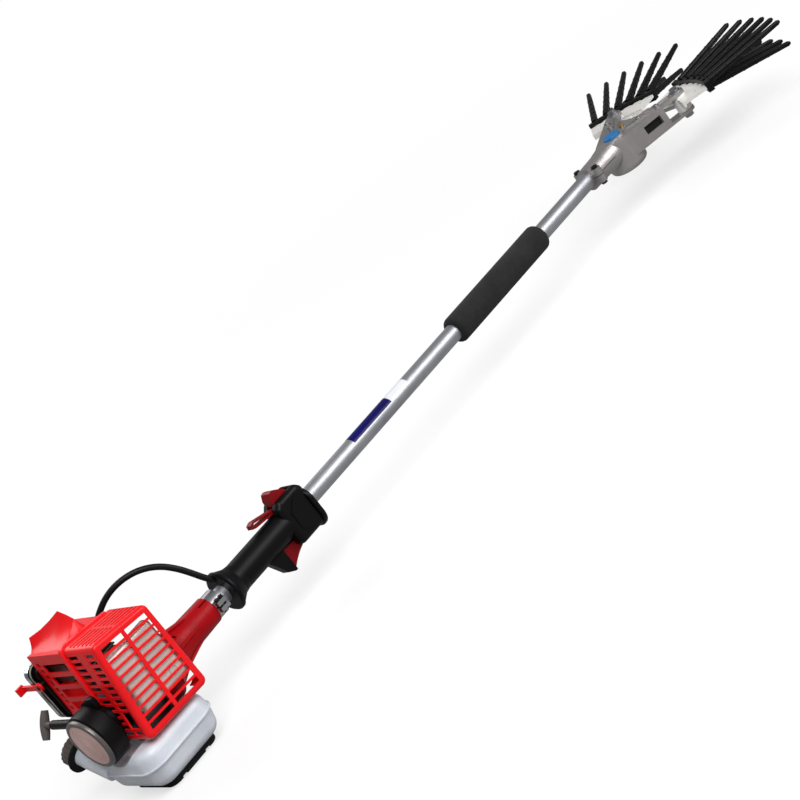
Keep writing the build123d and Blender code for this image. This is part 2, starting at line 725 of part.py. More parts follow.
def choke_lever():
    rear = CYLINDER_X - CLEANER_WIDTH / 2 - GAP
    y0 = CARB_TO + SLIP + CLEANER_DEPTH / 2 - 2
    arm = block(rear - CHOKE_THICK, rear, y0, y0 + CHOKE_LENGTH, CARB_Z - 4, CARB_Z + 4)
    arm += rod(rear - CHOKE_THICK, rear, 7, y0, CARB_Z)
    end = y0 + CHOKE_LENGTH
    arm += block(rear - CHOKE_THICK - 8, rear, end - 5, end, CARB_Z - 6, CARB_Z + 6)
    return arm - rod(rear - CHOKE_THICK - 1, rear + 1, CHOKE_PIN_R + RUN, y0, CARB_Z)


# Recoil starter


def starter_case():
    neck = CRANKCASE_REAR - STARTER_NECK
    body = turned(
        (CRANKCASE_REAR, 0),
        (CRANKCASE_REAR, STARTER_NECK_R),
        (neck, STARTER_NECK_R),
        (neck, STARTER_R - 2),
        (neck - 2, STARTER_R),
        (STARTER_FACE + 3, STARTER_R),
        (STARTER_FACE, STARTER_R - 3),
        (STARTER_FACE, 0),
    )
    guide = pin(ROPE_X, ROPE_Z, ROPE_Z, STARTER_R + ROPE_GUIDE, 6.5)
    body += guide
    inside = turned(
        (CRANKCASE_REAR + 1, 0),
        (CRANKCASE_REAR + 1, STARTER_NECK_R - STARTER_WALL),
        (neck - STARTER_WALL, STARTER_NECK_R - STARTER_WALL),
        (neck - STARTER_WALL, STARTER_R - STARTER_WALL),
        (STARTER_FACE + STARTER_WALL, STARTER_R - STARTER_WALL),
        (STARTER_FACE + STARTER_WALL, 0),
    )
    body -= inside
    body -= pin(ROPE_X, ROPE_Z, 0, STARTER_R + ROPE_GUIDE + 1, ROPE_R + GAP)
    return body + rod(STARTER_FACE + 1, PULLEY_X + PULLEY_WIDTH + 1, 6.0)


def starter_pulley():
    mid = PULLEY_X + PULLEY_WIDTH / 2
    groove = ROPE_Z - ROPE_R - GAP
    body = turned(
        (PULLEY_X, 6.0 + RUN),
        (PULLEY_X, PULLEY_R),
        (mid - ROPE_R - 1, PULLEY_R),
        (mid - ROPE_R - 0.5, groove),
        (mid + ROPE_R + 0.5, groove),
        (mid + ROPE_R + 1, PULLEY_R),
        (PULLEY_X + PULLEY_WIDTH, PULLEY_R),
        (PULLEY_X + PULLEY_WIDTH, 6.0 + RUN),
    )
    return body


def starter_plaque():
    low = STARTER_FACE
    return turned((low, 0), (low, PLAQUE_R), (low - 2, PLAQUE_R), (low - 4, PLAQUE_R - 2),
                  (low - PLAQUE_THICK, 0))


ROPE_FROM = 4.0
T_START = STARTER_R + ROPE_GUIDE + GAP


def starter_rope():
    return pin(ROPE_X, ROPE_Z, ROPE_FROM, T_START, ROPE_R)


def handle_ring(height, shrink, bow):
    """Oval section of the T grip at a height, smaller by shrink and set out by bow."""
    place = Plane((0, T_STEM + bow, height), z_dir=(0, 0, 1))
    return place * Ellipse(T_THICK / 2 - shrink, T_DEPTH / 2 - shrink)


def starter_handle():
    half = T_LENGTH / 2
    grip = loft([handle_ring(-half, T_END, -T_END), handle_ring(0, 0, 0), handle_ring(half, T_END, -T_END)])
    grip = Rot(0, T_TURN, 0) * grip
    return Pos(ROPE_X, T_START, ROPE_Z) * grip + pin(ROPE_X, ROPE_Z, T_START, T_START + T_STEM, 5.0)


# Fuel tank


def tank_half(height, taper, wall=0.0):
    """One half of the tank, from the seam outwards, drawn in by its taper and by a wall."""
    sketch = RectangleRounded(TANK_LENGTH - 2 * wall, TANK_WIDTH - 2 * wall, TANK_ROUND - wall)
    return extrude(sketch, height - wall, taper=taper)


def tank_hollow():
    """Room for fuel inside the tank's wall."""
    upper = tank_half(TANK_TOP - SEAM_Z, TANK_UPPER_TAPER, TANK_WALL)
    upper = fillet(upper.faces().sort_by(Axis.Z)[-1].edges(), TANK_EDGE - 4 - TANK_WALL)
    lower = mirror(tank_half(SEAM_Z - TANK_LOW, TANK_LOWER_TAPER, TANK_WALL), Plane.XY)
    lower = fillet(lower.faces().sort_by(Axis.Z)[0].edges(), TANK_EDGE - TANK_WALL)
    body = Pos(TANK_X, 0, SEAM_Z) * (upper + lower)
    return body - rod(TANK_X - TANK_LENGTH, TANK_X + TANK_LENGTH, SADDLE_R + TANK_WALL)


def cap_axis(start, length, r):
    """Bar along the filler neck."""
    place = Pos(CAP_X, CAP_Y, CAP_Z) * Rot(-(90 - CAP_TILT), 0, 0)
    return place * Pos(0, 0, start + length / 2) * Cylinder(r, length)


CAP_START = NECK_LENGTH - CAP_DEPTH + 5
SEAM_Z = (TANK_TOP + TANK_LOW) / 2 + 4


def fuel_tank():
    upper = tank_half(TANK_TOP - SEAM_Z, TANK_UPPER_TAPER)
    upper = fillet(upper.faces().sort_by(Axis.Z)[-1].edges(), TANK_EDGE - 4)
    lower = mirror(tank_half(SEAM_Z - TANK_LOW, TANK_LOWER_TAPER), Plane.XY)
    lower = fillet(lower.faces().sort_by(Axis.Z)[0].edges(), TANK_EDGE)
    seam = RectangleRounded(TANK_LENGTH + 2 * TANK_SEAM, TANK_WIDTH + 2 * TANK_SEAM, TANK_ROUND + TANK_SEAM)
    body = upper + lower + Pos(0, 0, -TANK_SEAM / 2) * extrude(seam, TANK_SEAM)
    body = Pos(TANK_X, 0, SEAM_Z) * body
    body -= rod(TANK_X - TANK_LENGTH, TANK_X + TANK_LENGTH, SADDLE_R)
    body += cap_axis(-NECK_ROOT, NECK_LENGTH + NECK_ROOT, NECK_R)
    body -= rod(TANK_X - TANK_LENGTH, TANK_X + TANK_LENGTH, SADDLE_R)
    body -= tank_hollow()
    return body - cap_axis(-NECK_ROOT / 2, NECK_LENGTH + NECK_ROOT / 2 + 1, NECK_R - TANK_WALL)


def fuel_cap():
    body = cap_axis(CAP_START, CAP_DEPTH, CAP_R)
    place = Pos(CAP_X, CAP_Y, CAP_Z) * Rot(-(90 - CAP_TILT), 0, 0)
    for turn in range(CAP_KNURLS):
        groove = Pos(CAP_R + 0.4, 0, CAP_START + CAP_DEPTH / 2) * Cylinder(1.6, CAP_DEPTH + 2)
        body -= place * Rot(0, 0, turn * 360 / CAP_KNURLS) * groove
    return body - cap_axis(CAP_START - 1, CAP_DEPTH - 3, NECK_R + GAP)


def fuel_cap_seal():
    ring = cap_axis(CAP_START - SEAL_THICK - SLIP, SEAL_THICK, CAP_R + SEAL_OUT)
    return ring - cap_axis(CAP_START - SEAL_THICK - 1, SEAL_THICK + 2, NECK_R + SLIP)


def tank_foot():
    low = -AXIS_HEIGHT
    plate = Pos(TANK_X, 0, low) * extrude(RectangleRounded(FOOT_LENGTH, FOOT_WIDTH, 16), FOOT_HEIGHT)
    plate = fillet(plate.faces().sort_by(Axis.Z)[0].edges(), 3)
    for share in (-0.25, 0.25):
        x = TANK_X + share * FOOT_LENGTH
        plate -= block(x - 5, x + 5, -FOOT_WIDTH, FOOT_WIDTH, low - 1, low + 3)
    return plate


# Drive line from the clutch to the head


DRUM_R = SHOE_R + DRUM_GAP + DRUM_WALL
PINION_R = GEAR_MODULE * PINION_TEETH / 2
CROWN_R = GEAR_MODULE * CROWN_TEETH / 2
PINION_X = GEAR_X - CROWN_R - PINION_FACE / 2


def clutch_drum():
    rim = turned(
        (SHOE_X, SHOE_R + DRUM_GAP),
        (SHOE_X, DRUM_R),
        (DRUM_X + DRUM_WEB, DRUM_R),
        (DRUM_X + DRUM_WEB, DRUM_HUB_R),
        (BEARING_X + BEARING_WIDTH, DRUM_HUB_R),
        (BEARING_X + BEARING_WIDTH, SHAFT_R + SLIP),
        (DRUM_X, SHAFT_R + SLIP),
        (DRUM_X, SHOE_R + DRUM_GAP),
    )
    return rim


def drum_bearing():
    ring = rod(BEARING_X, BEARING_X + BEARING_WIDTH, BEARING_R)
    return ring - rod(BEARING_X - 1, BEARING_X + BEARING_WIDTH + 1, DRUM_HUB_R + RUN)


def clutch_case():
    cavity = DRUM_R + 2.5
    shoulder = FAN_CASE_R - 7
    waist_x = MOUTH_X - TUBE_SEAT_REAR + 6
    waist_r = MOUTH_R + 1.5
    belly = ((SHOE_X + 12 + waist_x) / 2 - 6, cavity - 2)
    edges = [
        Line((CASE_REAR, 0), (CASE_REAR, FAN_CASE_R)),
        Line((CASE_REAR, FAN_CASE_R), (SHOE_X + 4, FAN_CASE_R)),
        Line((SHOE_X + 4, FAN_CASE_R), (SHOE_X + 12, shoulder)),
        ThreePointArc((SHOE_X + 12, shoulder), belly, (waist_x, waist_r)),
        Line((waist_x, waist_r), (MOUTH_X, MOUTH_R)),
        Line((MOUTH_X, MOUTH_R), (MOUTH_X, 0)),
        Line((MOUTH_X, 0), (CASE_REAR, 0)),
    ]
    body = revolve(make_face(edges), Axis.X)
    rib = side_prism(
        side_face((SHOE_X + 12, 20), (SHOE_X + 12, shoulder), (belly[0], belly[1] + FUNNEL_RIB_HEIGHT),
                  (waist_x - 6, waist_r + FUNNEL_RIB_HEIGHT), (waist_x + 10, waist_r - 1),
                  (waist_x + 10, 16)),
        -FUNNEL_RIB_WIDTH / 2, FUNNEL_RIB_WIDTH / 2)
    for turn in range(FUNNEL_RIB_COUNT):
        body += Rot(20 + turn * 360 / FUNNEL_RIB_COUNT, 0, 0) * rib
    body -= turned(
        (CASE_REAR - 1, 0),
        (CASE_REAR - 1, FAN_CASE_R - FAN_CASE_WALL),
        (SHOE_X, FAN_CASE_R - FAN_CASE_WALL),
        (SHOE_X, cavity),
        (BEARING_X, cavity),
        (BEARING_X, BEARING_R + SLIP),
        (BEARING_X + BEARING_WIDTH, BEARING_R + SLIP),
        (BEARING_X + BEARING_WIDTH, SHAFT_R + 4),
        (TUBE_REAR, SHAFT_R + 4),
        (TUBE_REAR, TUBE_R + SLIP),
        (MOUTH_X + 1, TUBE_R + SLIP),
        (MOUTH_X + 1, 0),
    )
    slit = block(MOUTH_X - 16, MOUTH_X + 1, -1.2, 1.2, 0, MOUTH_R + 2)
    body -= Rot(35, 0, 0) * slit
    return body - Rot(48, 0, 0) * post(BEARING_X + 22, 0, 24, FAN_CASE_R, 3.2)


def tube_clamp():
    x0 = MOUTH_X + 1
    x1 = x0 + COLLAR_LENGTH
    body = rod(x0, x1, COLLAR_R)
    body += block(x0 + 1, x1 - 1, -COLLAR_R - COLLAR_EAR, -TUBE_R, -COLLAR_EAR, COLLAR_EAR)
    body -= rod(x0 - 1, x1 + 1, TUBE_R + SLIP)
    body -= block(x0 - 1, x1 + 1, -COLLAR_R - COLLAR_EAR - 1, 0, -COLLAR_SLIT / 2, COLLAR_SLIT / 2)
    for x in clamp_screw_places():
        body -= post(x, -COLLAR_R - COLLAR_EAR / 2, -COLLAR_EAR - 1, COLLAR_EAR + 1, CLAMP_SCREW_R + SLIP)
    return body


def clamp_screw_places():
    x0 = MOUTH_X + 1
    return (x0 + COLLAR_LENGTH * 0.28, x0 + COLLAR_LENGTH * 0.72)


def clamp_screws():
    y = -COLLAR_R - COLLAR_EAR / 2
    parts = []
    for x in clamp_screw_places():
        screw = post(x, y, -COLLAR_EAR - 2, COLLAR_EAR, CLAMP_SCREW_R)
        parts.append(screw + post(x, y, COLLAR_EAR, COLLAR_EAR + 4, CLAMP_HEAD_R - 1))
    return Compound(parts)


def drive_tube():
    return rod(TUBE_REAR, TUBE_FRONT, TUBE_R) - rod(TUBE_REAR - 1, TUBE_FRONT + 1, TUBE_BORE)


def drive_shaft():
    return rod(DRUM_X + 0.5, PINION_X + PINION_FACE, SHAFT_R)


def shaft_bushes():
    first = TUBE_REAR + 30
    pitch = (TUBE_FRONT - BUSH_LENGTH - 30 - first) / (BUSH_COUNT - 1)
    parts = []
    for place in range(BUSH_COUNT):
        x = first + place * pitch
        sleeve = rod(x, x + BUSH_LENGTH, TUBE_BORE - SLIP)
        parts.append(sleeve - rod(x - 1, x + BUSH_LENGTH + 1, SHAFT_R + RUN))
    return Compound(parts)


def foam_grip():
    body = rod(FOAM_START, FOAM_START + FOAM_LENGTH, FOAM_R)
    body = fillet(body.edges(), FOAM_ROUND)
    return body - rod(FOAM_START - 1, FOAM_START + FOAM_LENGTH + 1, TUBE_R + SLIP)


# Control handle


GRIP_X = HANDLE_REAR + FLANGE_LENGTH
HOUSING_X = GRIP_X + GRIP_LENGTH
HOUSING_END = HOUSING_X + HOUSING_LENGTH
TRIGGER_X = HOUSING_X + 27
LOCKOUT_X = HOUSING_X + 4
LOCKOUT_Z = GRIP_R + 5
SWITCH_X = HOUSING_X + 8


def trigger_fin():
    """Black fin behind the trigger that takes its swing."""
    tip_x = TRIGGER_X - TRIGGER_REACH
    tip_z = TRIGGER_PIVOT_Z - TRIGGER_DROP
    half = TRIGGER_HALF + GAP + FIN_WALL
    outline = side_face((tip_x - 32, 5 - GRIP_R), (tip_x - 25, -GRIP_R - 4), (tip_x - 12, tip_z + 6),
                        (tip_x - 2, tip_z), (tip_x + 2, tip_z), (tip_x + 2, 5 - GRIP_R))
    return side_prism(outline, -half, half)


def handle_flange():
    """Round hand stop at the rear, with a waist that runs into the grip."""
    edge = FLANGE_LENGTH * 0.7
    rim = FLANGE_R - FLANGE_ROUND
    return turned((HANDLE_REAR, 0), (HANDLE_REAR, rim), (HANDLE_REAR + FLANGE_ROUND, FLANGE_R),
                  (HANDLE_REAR + edge - FLANGE_ROUND, FLANGE_R), (HANDLE_REAR + edge, rim),
                  (GRIP_X, GRIP_R + WAIST_OUT), (GRIP_X + WAIST_LENGTH / 2, GRIP_R + WAIST_OUT / 4),
                  (GRIP_X + WAIST_LENGTH, GRIP_R), (GRIP_X + WAIST_LENGTH, 0))


def handle_housing():
    """Rounded box at the front that holds the trigger, the levers and the switch."""
    shoulder = HOUSING_X + HOUSING_SHOULDER
    nose = HOUSING_END - HOUSING_NOSE
    outline = side_face((HOUSING_X, HOUSING_TOP - HOUSING_SHOULDER), (shoulder, HOUSING_TOP),
                        (nose, HOUSING_TOP),
                        (HOUSING_END, HOUSING_TOP - HOUSING_NOSE), (HOUSING_END, HOUSING_LOW),
                        (HOUSING_X, HOUSING_LOW))
    body = side_prism(outline, -HOUSING_HALF, HOUSING_HALF)
    body = fillet(body.edges().filter_by(Axis.Y), HANDLE_ROUND)
    sides = body.faces().filter_by(Plane.XZ)
    return fillet(sides.edges(), HANDLE_ROUND)


def handle_lip():
    """Oval hand stop round the front of the housing."""
    low = HOUSING_LOW - LIP_OUT
    outline = RectangleRounded(2 * (HOUSING_HALF + LIP_OUT), LIP_TOP - low, HOUSING_HALF)
    lip = Pos(HOUSING_END - LIP_LENGTH, 0, (LIP_TOP + low) / 2) * extrude(Plane.YZ * outline, LIP_LENGTH)
    return fillet(lip.edges(), LIP_LENGTH / 3)


def handle_panel():
    """Raised panel on the right of the housing."""
    low = HOUSING_LOW + HANDLE_ROUND + 2
    top = HOUSING_TOP - HANDLE_ROUND - 3
    x0 = HOUSING_X + HANDLE_ROUND + 6
    x1 = HOUSING_END - HANDLE_ROUND
    outline = side_face((x0, low + 8), (x0, top - 14), (x0 + 16, top), (x1 - 10, top), (x1, top - 16),
                        (x1, low), (x0 + 10, low))
    return side_prism(outline, -HOUSING_HALF - PANEL_OUT, -HOUSING_HALF + PANEL_OUT)


def handle_body():
    body = handle_flange() + rod(GRIP_X, HOUSING_X + 10, GRIP_R)
    body += handle_housing() + handle_lip() + handle_panel() + trigger_fin()
    body -= rod(HANDLE_REAR - 1, HOUSING_END + 1, TUBE_R + SLIP)
    slot = TRIGGER_HALF + GAP
    body -= block(TRIGGER_X - TRIGGER_REACH - 7, TRIGGER_X + 7, -slot, slot, HOUSING_LOW - 40, -TUBE_R - 1.2)
    body -= pin(TRIGGER_X, TRIGGER_PIVOT_Z, -slot - 4, slot + 4, TRIGGER_PIN_R + RUN)
    slot = LOCKOUT_HALF + GAP
    body -= block(HOUSING_X - 8, LOCKOUT_X + 6, -slot, slot, GRIP_R + 0.2, GRIP_R + 14)
    body -= pin(LOCKOUT_X, LOCKOUT_Z, -slot - 3, slot + 3, LOCKOUT_PIN_R + RUN)
    body -= block(SWITCH_X - GAP, SWITCH_X + SWITCH_LENGTH + SWITCH_TRAVEL + GAP, -SWITCH_HALF - GAP,
                  SWITCH_HALF + GAP, HOUSING_TOP - 5, HOUSING_TOP + 1)
    for x, z in handle_screw_places():
        body -= pin(x, z, 3 - HOUSING_HALF, HOUSING_HALF + 9, CLAMP_SCREW_R + SLIP)
        body -= pin(x, z, HOUSING_HALF - 3, HOUSING_HALF + 9, CLAMP_HEAD_R)
    return body - cable_entry()


def handle_screw_places():
    front = HOUSING_END - 16
    high = HOUSING_TOP - 16
    return ((HOUSING_X + 18, high), (front, high), (front, HOUSING_LOW + 12))


def handle_screws():
    parts = []
    for x, z in handle_screw_places():
        screw = pin(x, z, 3.5 - HOUSING_HALF, HOUSING_HALF - 3, CLAMP_SCREW_R)
        screw += pin(x, z, HOUSING_HALF - 3, HOUSING_HALF - 0.5, CLAMP_HEAD_R - 0.3)
        parts.append(screw)
    return Compound(parts)


def handle_half(side):
    """Left half for side 1, right half for side -1."""
    reach = HOUSING_HALF + 40
    y0, y1 = (0, reach) if side > 0 else (-reach, 0)
    return handle_body() & block(HANDLE_REAR - 5, HOUSING_END + 5, y0, y1, HOUSING_LOW - 60, HOUSING_TOP + 20)


def throttle_trigger():
    tip = (TRIGGER_X - TRIGGER_REACH, TRIGGER_PIVOT_Z - TRIGGER_DROP)
    heel = (TRIGGER_X + 4, TRIGGER_PIVOT_Z - 4)
    top = -GRIP_R - 0.5
    edges = [
        Line((TRIGGER_X + 5, top - 3), heel),
        ThreePointArc(heel, (TRIGGER_X - 0.5 * TRIGGER_REACH, TRIGGER_PIVOT_Z - 0.4 * TRIGGER_DROP), tip),
        Line(tip, (tip[0] + 1, top)),
        Line((tip[0] + 1, top), (TRIGGER_X + 5, top - 3)),
    ]
    body = side_prism(make_face(edges), -TRIGGER_HALF, TRIGGER_HALF)
    return body + pin(TRIGGER_X, TRIGGER_PIVOT_Z, -TRIGGER_HALF - 3.5, TRIGGER_HALF + 3.5, TRIGGER_PIN_R)


def lockout_lever():
    rear = LOCKOUT_X - LOCKOUT_LENGTH
    outline = side_face((LOCKOUT_X + 3, LOCKOUT_Z - 3), (LOCKOUT_X + 3, LOCKOUT_Z + 3),
                        (rear + 8, LOCKOUT_Z + 13),
                        (rear + 1, LOCKOUT_Z + 11), (rear, LOCKOUT_Z + 5), (rear + 6, LOCKOUT_Z + 2.5))
    window = offset(outline, -LOCKOUT_STRIP)
    body = side_prism(outline, -LOCKOUT_HALF, LOCKOUT_HALF)
    body -= side_prism(window, -LOCKOUT_HALF - 1, LOCKOUT_HALF + 1)
    hinge = pin(LOCKOUT_X, LOCKOUT_Z, -LOCKOUT_HALF, LOCKOUT_HALF, 3.0)
    return body + hinge + pin(LOCKOUT_X, LOCKOUT_Z, -LOCKOUT_HALF - 3, LOCKOUT_HALF + 3, LOCKOUT_PIN_R)


def stop_switch():
    low = HOUSING_TOP - 5
    top = HOUSING_TOP + SWITCH_HEIGHT
    end = SWITCH_X + SWITCH_LENGTH
    peak = SWITCH_X + SWITCH_LENGTH / 3
    outline = side_face((SWITCH_X, low), (SWITCH_X, HOUSING_TOP + SWITCH_HEIGHT / 3), (peak - 5, top - 1),
                        (peak, top), (peak + 5, top - 2), (end - 3, HOUSING_TOP + SWITCH_HEIGHT / 3),
                        (end, HOUSING_TOP + 1), (end, low))
    return side_prism(outline, -SWITCH_HALF, SWITCH_HALF)


CABLE_END = 32.0
CABLE_SHAPE = [
    (1.0, 0.0, 20.0),
    (0.945, 0.012, 34.0),
    (0.895, 0.05, 52.0),
    (0.84, 0.105, 70.0),
    (0.775, 0.18, 86.0),
    (0.695, 0.265, 98.0),
    (0.61, 0.37, 105.0),
    (0.52, 0.485, 107.5),
    (0.435, 0.6, 106.0),
    (0.355, 0.715, 100.5),
    (0.285, 0.82, 91.5),
    (0.218, 0.905, 81.0),
    (0.15, 0.968, 71.5),
    (0.077, 1.0, CARB_Z),
    (0.0, 1.0, CARB_Z),
]
CABLE_RUN = HANDLE_REAR + 3 - CABLE_END
CABLE_ROUTE = [(CABLE_END + along * CABLE_RUN, across * CARB_MID, z) for along, across, z in CABLE_SHAPE]


def cable_radii(points):
    """Largest tangent arc at each inner corner of a route."""
    radii = []
    for before, here, after in zip(points, points[1:], points[2:]):
        first = Vector(*here) - Vector(*before)
        second = Vector(*after) - Vector(*here)
        half_turn = math.radians(first.get_angle(second)) / 2
        radii.append(0.45 * min(first.length, second.length) / math.tan(half_turn))
    return radii


def cable_entry():
    """Hole in the handle's flange that takes the end of the cable."""
    start = Vector(*CABLE_ROUTE[0])
    run = Vector(*CABLE_ROUTE[1]) - start
    return extrude(Plane(start, z_dir=run) * Circle(CABLE_R + SLIP), run.length)


def throttle_cable():
    radii = cable_radii(CABLE_ROUTE)
    path = FilletPolyline(*CABLE_ROUTE, radius=radii)
    start = Plane(path @ 0, z_dir=path % 0)
    tube = sweep(start * Circle(CABLE_R), path=path)
    print("cable arcs, mm:", [round(r) for r in radii])
    print("cable volume share:", round(tube.volume / (math.pi * CABLE_R ** 2 * path.length), 4))
    return tube


# Head drive: pinion, crown gear with crank pin, and the yoke


HEAD_BEARING_R = 12.0
JOURNAL_R = 8.0
CROWN_DISC_LOW = PINION_R + TOOTH_IN
CROWN_DISC_TOP = CROWN_DISC_LOW + 2.5
CASE_INSIDE_TOP = CROWN_DISC_TOP + 0.5
GEAR_CAVITY_R = CROWN_R + 6.0
YOKE_PIN_Y = PIVOT_Y - ARM_REACH
YOKE_SLOT_X = CRANK_PIN_R + RATIO_ROOM
YOKE_SLOT_Y = CRANK_E + CRANK_PIN_R + GAP


def tooth_face(low, high, root, tip):
    """Tapered tooth outline, from its root at low to its tip at high."""
    corners = ((-root / 2, low), (root / 2, low), (tip / 2, high), (-tip / 2, high))
    return make_face(Polyline(*corners, close=True))


def bevel_pinion():
    root_r = PINION_R - TOOTH_IN
    body = rod(PINION_X, PINION_X + PINION_FACE, root_r)
    outline = tooth_face(root_r - 1, PINION_R + TOOTH_OUT, TOOTH_ROOT, TOOTH_TIP)
    tooth = Pos(PINION_X, 0, 0) * extrude(Plane.YZ * outline, PINION_FACE)
    for turn in range(PINION_TEETH):
        body += Rot(turn * 360 / PINION_TEETH, 0, 0) * tooth
    return body - rod(PINION_X - 1, PINION_X + PINION_FACE + 1, SHAFT_R + SLIP)


def head_bearing():
    ring = rod(TUBE_FRONT + SLIP, PINION_X - 2, HEAD_BEARING_R)
    return ring - rod(TUBE_FRONT - 1, PINION_X, SHAFT_R + RUN)


def crown_gear():
    body = post(0, 0, CROWN_DISC_LOW, CROWN_DISC_TOP, CROWN_R + 4)
    tip = PINION_R - TOOTH_OUT
    outline = tooth_face(-CROWN_DISC_LOW - 1, -tip, TOOTH_ROOT, TOOTH_TIP)
    tooth = mirror(Pos(CROWN_R - PINION_FACE / 2, 0, 0) * extrude(Plane.YZ * outline, PINION_FACE), Plane.XY)
    for turn in range(CROWN_TEETH):
        body += Rot(0, 0, (turn + 0.5) * 360 / CROWN_TEETH) * tooth
    body += post(0, 0, CROWN_DISC_TOP, GEAR_CASE_TOP - 0.3, JOURNAL_R)
    body += post(0, 0, CRANK_DISC_LOW, CROWN_DISC_TOP, CRANK_SHAFT_R)
    body += post(0, 0, CRANK_DISC_LOW, CRANK_DISC_TOP, CRANK_DISC_R)
    body += post(0, -CRANK_E, YOKE_LOW, CRANK_DISC_LOW, CRANK_PIN_R)
    return Pos(GEAR_X, 0, 0) * body


def yoke():
    half_x = YOKE_SLOT_X + 5
    half_y = YOKE_SLOT_Y + 4
    body = block(GEAR_X - half_x, GEAR_X + half_x, -half_y, half_y, YOKE_LOW, YOKE_TOP)
    body += block(GEAR_X, PIVOT_X, -YOKE_BAR / 2, YOKE_BAR / 2, YOKE_LOW, YOKE_TOP)
    cross = YOKE_PIN_Y + YOKE_PIN_R + 4
    head = block(PIVOT_X - 8, PIVOT_X + 8, -cross, cross, YOKE_LOW, YOKE_TOP)
    body += fillet(head.edges().filter_by(Axis.Z), 5)
    slot = block(GEAR_X - YOKE_SLOT_X, GEAR_X + YOKE_SLOT_X, -YOKE_SLOT_Y, YOKE_SLOT_Y, YOKE_LOW - 1,
                 YOKE_TOP + 1)
    body -= fillet(slot.edges().filter_by(Axis.Z), YOKE_SLOT_X - 2)
    pinion_end = PINION_X + PINION_FACE + CRANK_E + GAP
    pinion_low = -PINION_R - TOOTH_OUT - 2 * GAP
    body -= block(GEAR_X - half_x - 1, pinion_end, -half_y - 1, half_y + 1, pinion_low, YOKE_TOP + 1)
    for side in (-1, 1):
        body += post(PIVOT_X, side * YOKE_PIN_Y, YOKE_TOP - 1, ARM_TOP + 1, YOKE_PIN_R)
    return body


# Head casing, cast in an upper and a lower half


def deck_outline(shrink=0.0):
    """Triangular deck: round at the gears, reaching out to the two pivots, hollowed in front."""
    gear = Pos(GEAR_X, 0) * Circle(GEAR_CASE_R - shrink)
    lean = math.atan2(PIVOT_Y + BOSS_R - GEAR_CASE_R, PIVOT_X - GEAR_X)
    side = (-math.sin(lean), math.cos(lean))
    gear_r = GEAR_CASE_R - shrink
    boss_r = BOSS_R - shrink
    left = [
        (GEAR_X + gear_r * side[0], gear_r * side[1]),
        (PIVOT_X + boss_r * side[0], PIVOT_Y + boss_r * side[1]),
    ]
    right = [(x, -y) for x, y in reversed(left)]
    front = [(PIVOT_X, PIVOT_Y), (PIVOT_X, -PIVOT_Y)]
    return gear + make_face(Polyline(*left, *front, *right, close=True))


def front_hollow(z0, z1):
    """Round bite out of the front of the decks, where the hands work."""
    rise = 42.0
    half = PIVOT_Y - BOSS_R
    r = (half ** 2 + rise ** 2) / (2 * rise)
    return post(PIVOT_X - rise + r, 0, z0, z1, r)


def deck(z0, z1):
    body = plan_prism(deck_outline(), z0, z1) - front_hollow(z0 - 1, z1 + 1)
    for side in (-1, 1):
        body += post(PIVOT_X, side * PIVOT_Y, z0, z1, BOSS_R)
    return body


def side_walls(z0, z1):
    """Outer walls between the decks, open in front of the pivots and at the windows."""
    wall = plan_prism(deck_outline(), z0, z1) - plan_prism(deck_outline(CASE_WALL), z0 - 1, z1 + 1)
    wall -= block(PIVOT_X - WALL_STOP, PIVOT_X + 60, -150, 150, z0 - 1, z1 + 1)
    wall -= block(PIVOT_X - 60, PIVOT_X + 60, -PIVOT_Y + 30, PIVOT_Y - 30, z0 - 1, z1 + 1)
    start = GEAR_X + GEAR_CASE_R * 0.7
    return wall - block(start, start + WINDOW_LENGTH, -150, 150, ARM_LOW, PLATE_TOP)


def clamp_neck():
    """Round neck with its two clamping ears, before it is split."""
    body = turned(
        (HEAD_X, 0),
        (HEAD_X, NECK_OUT_R),
        (HEAD_X + 40, NECK_OUT_R + 1),
        (GEAR_X - 28, GEAR_CASE_R - 8),
        (GEAR_X - 10, GEAR_CASE_R - 8),
        (GEAR_X - 10, 0),
    )
    body &= block(HEAD_X - 5, GEAR_X, -60, 60, -60, GEAR_CASE_TOP)
    for side in (-1, 1):
        x, y = clamp_bolt_place(side)
        ear = post(x, y, -EAR_HEIGHT, EAR_HEIGHT, EAR_R)
        body += ear + block(x - EAR_R, x + EAR_R, min(0, y), max(0, y), -EAR_HEIGHT, EAR_HEIGHT)
    return body


def clamp_bolt_place(side):
    return (HEAD_X + EAR_R, side * (TUBE_R + CLAMP_BOLT_R + 4))


